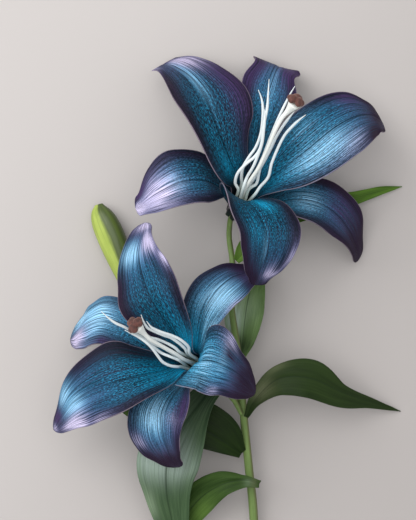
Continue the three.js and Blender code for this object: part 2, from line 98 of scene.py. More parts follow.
def new_grid(name, cells_across, cells_along):
    """A flat grid from -1 to 1 each way, with a UV map, alone in the selection."""
    bpy.ops.object.select_all(action="DESELECT")
    bpy.ops.mesh.primitive_grid_add(
        x_subdivisions=cells_across, y_subdivisions=cells_along, size=2
    )
    grid = bpy.context.active_object
    grid.name = name
    grid.data.name = name
    return grid


PATH_STEP = 0.004
SIDEWAYS_RUN = 0.1
MERGE_GAP = 0.00001


def stalk(name, path, girth_at, cells_round=20, cells_along=90, ribs=0, rib_depth=0.0):
    """A round solid along a path: a grid rolled into a tube, sewn up and capped."""
    tube = new_grid(name, cells_round, cells_along)
    rings = {}
    reference = Vector((1, 0, 0)) if abs(path[-1][0] - path[0][0]) < SIDEWAYS_RUN else Vector((0, 0, 1))
    for vertex in tube.data.vertices:
        along = (vertex.co.y + 1) / 2
        if along not in rings:
            centre = Vector(spline_row(path, along))
            ahead = Vector(spline_row(path, along + PATH_STEP))
            behind = Vector(spline_row(path, along - PATH_STEP))
            direction = (ahead - behind).normalized()
            right = (reference - direction * reference.dot(direction)).normalized()
            rings[along] = (centre, right, direction.cross(right), girth_at(along))
        centre, right, up, girth = rings[along]
        angle = math.pi * (1 - vertex.co.x)
        radius = girth * (1 + rib_depth * math.cos(ribs * angle))
        vertex.co = centre - right * (radius * math.cos(angle)) + up * (radius * math.sin(angle))
    bpy.ops.object.mode_set(mode="EDIT")
    bpy.ops.mesh.select_all(action="SELECT")
    bpy.ops.mesh.remove_doubles(threshold=MERGE_GAP)
    bpy.ops.mesh.fill_holes(sides=0)
    bpy.ops.mesh.normals_make_consistent(inside=False)
    bpy.ops.object.mode_set(mode="OBJECT")
    bpy.ops.object.shade_smooth()
    return tube


def new_material(name):
    """A material, its node tree and its shader."""
    material = bpy.data.materials.new(name)
    material.use_nodes = True
    tree = material.node_tree
    return material, tree, tree.nodes["Principled BSDF"]


def add_node(tree, kind, inputs=(), **settings):
    """A node with its settings made, and its inputs set to values or linked to sockets."""
    node = tree.nodes.new(kind)
    for key, value in settings.items():
        setattr(node, key, value)
    for key, value in dict(inputs).items():
        if isinstance(value, bpy.types.NodeSocket):
            tree.links.new(value, node.inputs[key])
        else:
            node.inputs[key].default_value = value
    return node


def calc(tree, operation, *values, clamp=False):
    """One step of arithmetic on numbers or sockets."""
    inputs = {index: value for index, value in enumerate(values)}
    node = add_node(tree, "ShaderNodeMath", inputs, operation=operation, use_clamp=clamp)
    return node.outputs[0]


def rise(tree, value, low, high):
    """Goes smoothly from 0 at low to 1 at high."""
    inputs = {"Value": value, "From Min": low, "From Max": high}
    node = add_node(tree, "ShaderNodeMapRange", inputs, interpolation_type="SMOOTHSTEP")
    return node.outputs["Result"]


def blend(tree, amount, first, second, mode="MIX"):
    """Mixes two colours, each a socket or three numbers."""
    node = add_node(tree, "ShaderNodeMix", data_type="RGBA", blend_type=mode)
    for index, value in ((0, amount), (6, first), (7, second)):
        if isinstance(value, bpy.types.NodeSocket):
            tree.links.new(value, node.inputs[index])
        elif index == 0:
            node.inputs[index].default_value = value
        else:
            node.inputs[index].default_value = (*value, 1)
    return node.outputs[2]


def noise(tree, vector, scale, detail=3.0, roughness=0.55):
    """Cloudy noise, from 0 to 1."""
    inputs = {"Vector": vector, "Scale": scale, "Detail": detail, "Roughness": roughness}
    return add_node(tree, "ShaderNodeTexNoise", inputs).outputs["Fac"]


def place_on_piece(tree):
    """How far along the piece, from 0 to 1, and how far across a blade, or round a stalk, from 1 to -1."""
    uv = add_node(tree, "ShaderNodeUVMap", uv_map="UVMap").outputs["UV"]
    parts = add_node(tree, "ShaderNodeSeparateXYZ", {"Vector": uv})
    across = calc(tree, "SUBTRACT", 1.0, calc(tree, "MULTIPLY", parts.outputs["X"], 2.0))
    return parts.outputs["Y"], across


def stretched(tree, along, across, long_scale, cross_scale, seed):
    """A vector for noise that runs in streaks along the piece."""
    inputs = {
        "X": calc(tree, "MULTIPLY", along, long_scale),
        "Y": calc(tree, "MULTIPLY", across, cross_scale),
        "Z": seed,
    }
    return add_node(tree, "ShaderNodeCombineXYZ", inputs).outputs["Vector"]


def raise_surface(tree, shader, height, strength, distance):
    """Bumps the surface by a height."""
    inputs = {"Height": height, "Strength": strength, "Distance": distance}
    bump = add_node(tree, "ShaderNodeBump", inputs)
    tree.links.new(bump.outputs["Normal"], shader.inputs["Normal"])


def finish_piece(piece, material, slot, *nodes):
    """Gives a piece its material, and lets it stand for its CAD nodes."""
    piece.data.materials.clear()
    piece.data.materials.append(material)
    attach(piece, "root")
    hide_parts(*nodes)


STEM_LIGHT = (0.19, 0.29, 0.09)
STEM_DARK = (0.075, 0.12, 0.028)
# The flush colour: partly the stem's own brown tint, partly painted shade on its right side.
STEM_FLUSH_AND_SHADE = (0.10, 0.085, 0.04)
STEM_MOTTLE = (30.0, 3.0)
STEM_RIBS = (4.0, 26.0)


def stalk_material(name):
    """Waxy green skin, with fine ribs along it and a warm brown flush on its right that is partly painted
    shade.
    """
    material, tree, shader = new_material(name)
    along, across = place_on_piece(tree)
    cloudy = noise(tree, stretched(tree, along, across, *STEM_MOTTLE, 1.0), 1.0)
    ribs = noise(tree, stretched(tree, along, across, *STEM_RIBS, 2.0), 1.0)
    colour = blend(tree, cloudy, STEM_DARK, STEM_LIGHT)
    # Browner and darker down the right side, away from the light: partly a brown flush, partly painted
    # shade.
    off_right = calc(tree, "ABSOLUTE", across)
    flush_and_shade = calc(tree, "MULTIPLY", rise(tree, off_right, 0.45, 0.10), 0.8)
    colour = blend(tree, flush_and_shade, colour, STEM_FLUSH_AND_SHADE)
    grooves = calc(tree, "MULTIPLY", rise(tree, ribs, 0.5, 0.75), 0.35)
    colour = blend(tree, grooves, colour, STEM_DARK)
    tree.links.new(colour, shader.inputs["Base Color"])
    roughness = calc(tree, "ADD", 0.38, calc(tree, "MULTIPLY", cloudy, 0.2))
    tree.links.new(roughness, shader.inputs["Roughness"])
    shader.inputs["Specular IOR Level"].default_value = 0.25
    raise_surface(tree, shader, ribs, 0.35, 0.0003)
    return material


def tapered(girths):
    """A stalk's radius at any fraction along it, from radii at even steps."""
    rows = [(girth,) for girth in girths]
    return lambda along: spline_row(rows, along)[0]


def knobbed(girths):
    """A stalk's radius, which swells into a knob at its end."""
    plain = tapered(girths)

    def girth_at(along):
        girth = plain(along)
        swelling = max(0.0, (along - KNOB_START) / (1 - KNOB_START))
        return girth + (KNOB_GIRTH - girth) * swelling ** KNOB_FLARE

    return girth_at


stem_green = stalk_material("stem_green")
main_stem = stalk("stem_main", STEM_PATH, knobbed(STEM_GIRTHS), cells_along=220, ribs=7, rib_depth=0.025)
finish_piece(main_stem, stem_green, "stem", "main_stem")

# ---- The side stalks ----
# The lower bloom and the bud each grow on a side stalk, thinner than the stem, that leaves it in a
# narrow heel. They are the same green tissue, and the bloom's stalk ends in a knob like the stem's.

BLOOM_STALK_GIRTHS = (0.0013, 0.0019, 0.0021, 0.0021, 0.0021)
BLOOM_STALK_PATH = (
    (0.0075, -0.0335, 0.0235),
    (0.0015, -0.0225, 0.026),
    (-0.008, -0.015, 0.029),
    (-0.016, -0.007, 0.032),
    (-0.0195, -0.0025, 0.035),
)
BUD_STALK_GIRTHS = (0.0014, 0.0016, 0.0016, 0.0018, 0.0022)
BUD_STALK_PATH = (
    (0.006, -0.0265, 0.016),
    (-0.0035, -0.0165, 0.018),
    (-0.023, -0.001, 0.02),
    (-0.043, 0.0165, 0.018),
    (-0.0575, 0.0315, 0.015),
    (-0.06, 0.037, 0.014),
)

bloom_stalk = stalk("stalk_lower_bloom", BLOOM_STALK_PATH, knobbed(BLOOM_STALK_GIRTHS))
finish_piece(bloom_stalk, stem_green, "stem", "lower_flower_stalk")
bud_stalk = stalk("stalk_bud", BUD_STALK_PATH, tapered(BUD_STALK_GIRTHS))
finish_piece(bud_stalk, stem_green, "stem", "bud_stalk")

# ---- The leaves ----
# Long smooth blades that clasp the stem at a narrow base. Each is one thin sheet with a sunken midrib
# darkened as painted shade, fine veins side by side along it, and a waxy skin with grey-green
# painted highlights where the light would glance off.
# A row is x, y, z, half width left and right, then twist and curl in degrees. A wash is a tint, the
# place of its centre along and across the blade, its length and width, and its strength. The pale and
# sheen tints are painted highlights, and the near-black tint is painted shade.

LEAF_THICKNESS = 0.0005
LEAF_RIB_DEPTH = 0.0007
LEAF_RIB_WIDTH = 0.0014
LEAF_WAVE = 0.0009
# Each leaf's own dark and light greens are set darker for the leaves that lie in shade: painted shade.
LEAVES = (
    {
        "name": "leaf_upper",
        "dark": (0.035, 0.085, 0.008),
        "light": (0.095, 0.19, 0.022),
        "washes": (
            ("fresh", 0.08, 0.0, 0.08, 1.5, 0.7),
            ("painted_shade", 0.45, 0.0, 0.15, 1.5, 0.6),
        ),
        "rows": (
            (0.004, 0.0675, 0.029, 0.0025, 0.0025, 0, 40),
            (0.013, 0.0765, 0.027, 0.008, 0.006, 0, 30),
            (0.0355, 0.0935, 0.022, 0.008, 0.005, 0, 20),
            (0.061, 0.1035, 0.016, 0.007, 0.006, 0, 15),
            (0.0825, 0.109, 0.01, 0.0045, 0.0045, 0, 10),
            (0.1, 0.114, 0.005, 0.0028, 0.0028, 0, 5),
            (0.115, 0.117, 0.0005, 0.0004, 0.0004, 0, 0),
        ),
    },
    {
        "name": "leaf_middle",
        "dark": (0.055, 0.11, 0.022),
        "light": (0.15, 0.25, 0.085),
        "washes": (
            ("sheen", 0.5, 0.1, 0.16, 0.9, 0.55),
            ("pale_highlight", 0.36, 0.6, 0.13, 0.4, 1.0),
            ("painted_shade", 0.14, 0.0, 0.12, 1.5, 0.95),
        ),
        "rows": (
            (0.0075, 0.0035, 0.02, 0.0025, 0.0025, 0, 20),
            (0.0085, 0.0145, 0.017, 0.009, 0.008, 0, 15),
            (0.01, 0.0295, 0.015, 0.014, 0.0115, 0, 10),
            (0.0125, 0.044, 0.013, 0.013, 0.011, 0, 10),
            (0.0165, 0.0575, 0.01, 0.008, 0.007, 0, 5),
            (0.021, 0.0695, 0.007, 0.0004, 0.0004, 0, 0),
        ),
    },
    {
        "name": "leaf_right",
        "dark": (0.01, 0.022, 0.004),
        "light": (0.022, 0.042, 0.009),
        "washes": (
            ("olive", 0.22, 0.2, 0.07, 0.9, 0.65),
            ("olive", 0.34, 0.9, 0.05, 0.3, 0.4),
        ),
        "rows": (
            (0.0105, -0.0355, 0.022, 0.0015, 0.0015, 0, 20),
            (0.017, -0.0225, 0.031, 0.0045, 0.005, 0, 25),
            (0.0315, -0.0095, 0.038, 0.009, 0.011, 0, 20),
            (0.052, -0.009, 0.038, 0.0125, 0.013, 0, 15),
            (0.0735, -0.0185, 0.028, 0.005, 0.0105, 0, 10),
            (0.094, -0.0265, 0.013, 0.003, 0.004, 0, 5),
            (0.114, -0.033, 0.0005, 0.0004, 0.0004, 0, 0),
        ),
    },
    {
        "name": "leaf_left",
        "dark": (0.004, 0.012, 0.001),
        "light": (0.014, 0.032, 0.004),
        "washes": (
            ("fresh", 0.93, 0.5, 0.05, 0.6, 0.3),
        ),
        "rows": (
            (0.0075, -0.06, 0.019, 0.003, 0.0045, 0, 30),
            (-0.0055, -0.0505, 0.024, 0.009, 0.016, 0, 20),
            (-0.023, -0.0405, 0.026, 0.014, 0.018, 0, 15),
            (-0.043, -0.034, 0.022, 0.013, 0.012, 0, 10),
            (-0.0595, -0.0325, 0.014, 0.008, 0.007, 0, 5),
            (-0.073, -0.0325, 0.006, 0.0004, 0.0004, 0, 0),
        ),
    },
    {
        "name": "leaf_front",
        "dark": (0.02, 0.045, 0.018),
        "light": (0.075, 0.13, 0.06),
        "washes": (
            ("pale_highlight", 0.47, -0.5, 0.09, 0.9, 0.85),
            ("pale_highlight", 0.5, 0.4, 0.08, 0.6, 0.35),
            ("painted_shade", 0.22, 0.0, 0.1, 1.5, 0.9),
            ("sheen", 0.66, -0.9, 0.07, 0.3, 0.6),
        ),
        "rows": (
            (0.004, 0.007, 0.031, 0.0025, 0.0025, 0, 30),
            (-0.0065, -0.0075, 0.039, 0.007, 0.007, 0, 25),
            (-0.019, -0.023, 0.043, 0.009, 0.009, 0, 20),
            (-0.0325, -0.0425, 0.043, 0.018, 0.017, 0, 10),
            (-0.041, -0.0635, 0.038, 0.021, 0.02, 0, 10),
            (-0.0415, -0.084, 0.03, 0.016, 0.015, 0, 10),
            (-0.038, -0.1045, 0.021, 0.011, 0.011, 0, 8),
            (-0.035, -0.1245, 0.011, 0.0065, 0.0065, 0, 5),
            (-0.0305, -0.1445, 0.0005, 0.0004, 0.0004, 0, 0),
        ),
    },
    {
        "name": "leaf_lower",
        "dark": (0.015, 0.038, 0.005),
        "light": (0.045, 0.09, 0.018),
        "washes": (
            ("fresh", 0.55, 0.6, 0.09, 0.5, 0.45),
            ("sheen", 0.12, 0.2, 0.05, 0.8, 0.3),
            ("olive", 0.06, 0.0, 0.04, 1.5, 0.4),
        ),
        "rows": (
            (0.0195, -0.0795, 0.022, 0.0025, 0.0025, 0, 30),
            (0.009, -0.0765, 0.027, 0.005, 0.0035, 0, 20),
            (-0.0055, -0.0795, 0.026, 0.008, 0.0095, 0, 15),
            (-0.02, -0.0895, 0.019, 0.011, 0.011, 0, 10),
            (-0.0325, -0.1065, 0.011, 0.009, 0.009, 0, 8),
            (-0.043, -0.125, 0.005, 0.005, 0.005, 0, 5),
            (-0.052, -0.143, 0.0005, 0.0004, 0.0004, 0, 0),
        ),
    },
)


TIP_SPAN = 0.07
THINNEST_HALF_WIDTH = 0.0003
BLADE_STEP = 0.02
LEAST_CURL = 0.001
LONG_RIPPLE = 15
SHORT_RIPPLE = 31


def tip_rounding(along):
    """Narrows the last stretch of a blade to a round end."""
    left = min((1 - along) / TIP_SPAN, 1.0)
    return math.sqrt(1 - (1 - left) ** 2)


def blade(name, rows, across_at, thickness, rib_depth, rib_width, wave, seed, cells=(44, 96)):
    """A thin curved sheet along a midrib: a grid shaped row by row, then given its thickness."""
    sheet = new_grid(name, *cells)
    stations = {}
    for vertex in sheet.data.vertices:
        along = (vertex.co.y + 1) / 2
        if along not in stations:
            row = spline_row(rows, along)
            ahead = Vector(spline_row(rows, along + BLADE_STEP)[:3])
            behind = Vector(spline_row(rows, along - BLADE_STEP)[:3])
            direction = (ahead - behind).normalized()
            side = across_at(direction)
            side = (side - direction * side.dot(direction)).normalized()
            side = Matrix.Rotation(math.radians(row[5]), 3, direction) @ side
            stations[along] = (row, side, direction.cross(side))
        row, side, face = stations[along]
        across = -vertex.co.x
        half_width = (row[3] if across > 0 else row[4]) * tip_rounding(along)
        half_width = max(half_width, THINNEST_HALF_WIDTH)
        curl = math.radians(row[6]) + LEAST_CURL
        turned = curl * across
        point = Vector(row[:3]) + side * (half_width / curl * math.sin(turned))
        point += face * (half_width / curl * (1 - math.cos(turned)))
        rib = math.exp(-((across * half_width / rib_width) ** 2)) * (1 - along ** 3)
        ripple = math.sin(along * LONG_RIPPLE + seed * 2.1 + across)
        ripple += 0.5 * math.sin(along * SHORT_RIPPLE + seed * across)
        point += face * (wave * ripple * abs(across) ** 3 * math.sin(math.pi * along) - rib_depth * rib)
        vertex.co = point
    modifier = sheet.modifiers.new("thickness", "SOLIDIFY")
    modifier.thickness = thickness
    modifier.offset = 0.0
    bpy.ops.object.modifier_apply(modifier="thickness")
    bpy.ops.object.shade_smooth()
    return sheet


def patch(tree, along, across, centre_along, centre_across, length, width):
    """A soft oval from 1 at its centre to 0 outside."""
    dx = calc(tree, "DIVIDE", calc(tree, "SUBTRACT", along, centre_along), length)
    dy = calc(tree, "DIVIDE", calc(tree, "SUBTRACT", across, centre_across), width)
    square = calc(tree, "ADD", calc(tree, "MULTIPLY", dx, dx), calc(tree, "MULTIPLY", dy, dy))
    return calc(tree, "EXPONENT", calc(tree, "MULTIPLY", square, -1.0))


# The pale grey-green and sheen tints are painted highlights, and the near-black tint is painted shade; the
# olive tint paints highlights on the right leaf and tints the lower leaf's base.
LEAF_TINTS = {
    "pale_highlight": (0.520, 0.640, 0.580),
    "sheen": (0.330, 0.440, 0.290),
    "fresh": (0.150, 0.270, 0.050),
    "olive": (0.200, 0.215, 0.120),
    "painted_shade": (0.006, 0.016, 0.006),
}
LEAF_CLOUDS = (3.0, 2.0)
LEAF_VEINS = (1.0, 16.0)
LEAF_FINE_VEINS = (3.0, 45.0)


def leaf_material(name, dark, light, washes, seed):
    """Leaf green with veins along it, soft washes of painted highlight and painted shade, and painted
    shade down the midrib.
    """
    material, tree, shader = new_material(name)
    along, across = place_on_piece(tree)
    clouds = noise(tree, stretched(tree, along, across, *LEAF_CLOUDS, seed), 1.0)
    veins = noise(tree, stretched(tree, along, across, *LEAF_VEINS, seed), 1.0, 2.0)
    fine = noise(tree, stretched(tree, along, across, *LEAF_FINE_VEINS, seed + 3.0), 1.0, 2.0)
    colour = blend(tree, rise(tree, clouds, 0.2, 0.8), dark, light)
    # Washes of painted highlight and painted shade, uneven along the veins.
    for tint, centre_along, centre_across, length, width, strength in washes:
        wash = patch(tree, along, across, centre_along, centre_across, length, width)
        uneven = calc(tree, "ADD", 0.6, calc(tree, "MULTIPLY", rise(tree, veins, 0.35, 0.65), 0.55))
        wash = calc(tree, "MULTIPLY", calc(tree, "MULTIPLY", wash, uneven), strength, clamp=True)
        colour = blend(tree, wash, colour, LEAF_TINTS[tint])
    colour = blend(tree, calc(tree, "MULTIPLY", rise(tree, veins, 0.52, 0.62), 0.35), colour, dark)
    colour = blend(tree, calc(tree, "MULTIPLY", rise(tree, fine, 0.50, 0.62), 0.30), colour, dark)
    # A dark line down the sunken midrib: painted shade in its groove.
    midrib_shade = calc(tree, "SUBTRACT", 1.0, rise(tree, calc(tree, "ABSOLUTE", across), 0.01, 0.06))
    colour = blend(tree, calc(tree, "MULTIPLY", midrib_shade, 0.5), colour, LEAF_TINTS["painted_shade"])
    tree.links.new(colour, shader.inputs["Base Color"])
    roughness = calc(tree, "ADD", 0.36, calc(tree, "MULTIPLY", clouds, 0.2))
    tree.links.new(roughness, shader.inputs["Roughness"])
    shader.inputs["Specular IOR Level"].default_value = 0.12
    height = calc(tree, "ADD", veins, calc(tree, "MULTIPLY", fine, 0.5))
    raise_surface(tree, shader, height, 0.45, 0.0006)
    return material


def flat_across(direction):
    """A leaf's side direction, level with the ground."""
    return Vector((0, 0, 1)).cross(direction)


for seed, leaf in enumerate(LEAVES):
    name = "blade_" + leaf["name"]
    sheet = blade(
        name, leaf["rows"], flat_across, LEAF_THICKNESS, LEAF_RIB_DEPTH, LEAF_RIB_WIDTH, LEAF_WAVE, seed
    )
    green = leaf_material(name, leaf["dark"], leaf["light"], leaf["washes"], seed * 7.0)
    finish_piece(sheet, green, "leaf", leaf["name"])

# ---- The tepals ----
# Six to a bloom, three wide inner ones over three narrower outer ones. Each grows from the knob in a
# narrow claw, opens into a trumpet and curls back at its tip. They are thin satin tissue, teal with
# dark flecks in the throat, blue further out and plum at the rim, with fine streaks along the veins.
# A row is out from the bloom's axis, sideways, up the axis, half width left and right, twist and curl.

TEPAL_THICKNESS = 0.0006
TEPAL_RIB_DEPTH = 0.0011
TEPAL_RIB_WIDTH = 0.0013
TEPAL_WAVE = 0.0011
BLOOMS = {
    "upper": {"base": Vector((0.0015, 0.098, 0.030)), "axis": Vector((0.30, 0.50, 0.81)).normalized()},
    "lower": {"base": Vector((-0.0195, -0.002, 0.036)), "axis": Vector((-0.30, 0.22, 0.93)).normalized()},
}
CLAWS = {
    "inner": ((0.0045, 0, 0.001, 0.0022, 0.0022, 0, 30), (0.0060, 0, 0.013, 0.0050, 0.0050, 0, 40)),
    "outer": ((0.0040, 0, 0.001, 0.0020, 0.0020, 0, 20), (0.0045, 0, 0.012, 0.0035, 0.0035, 0, 30)),
}
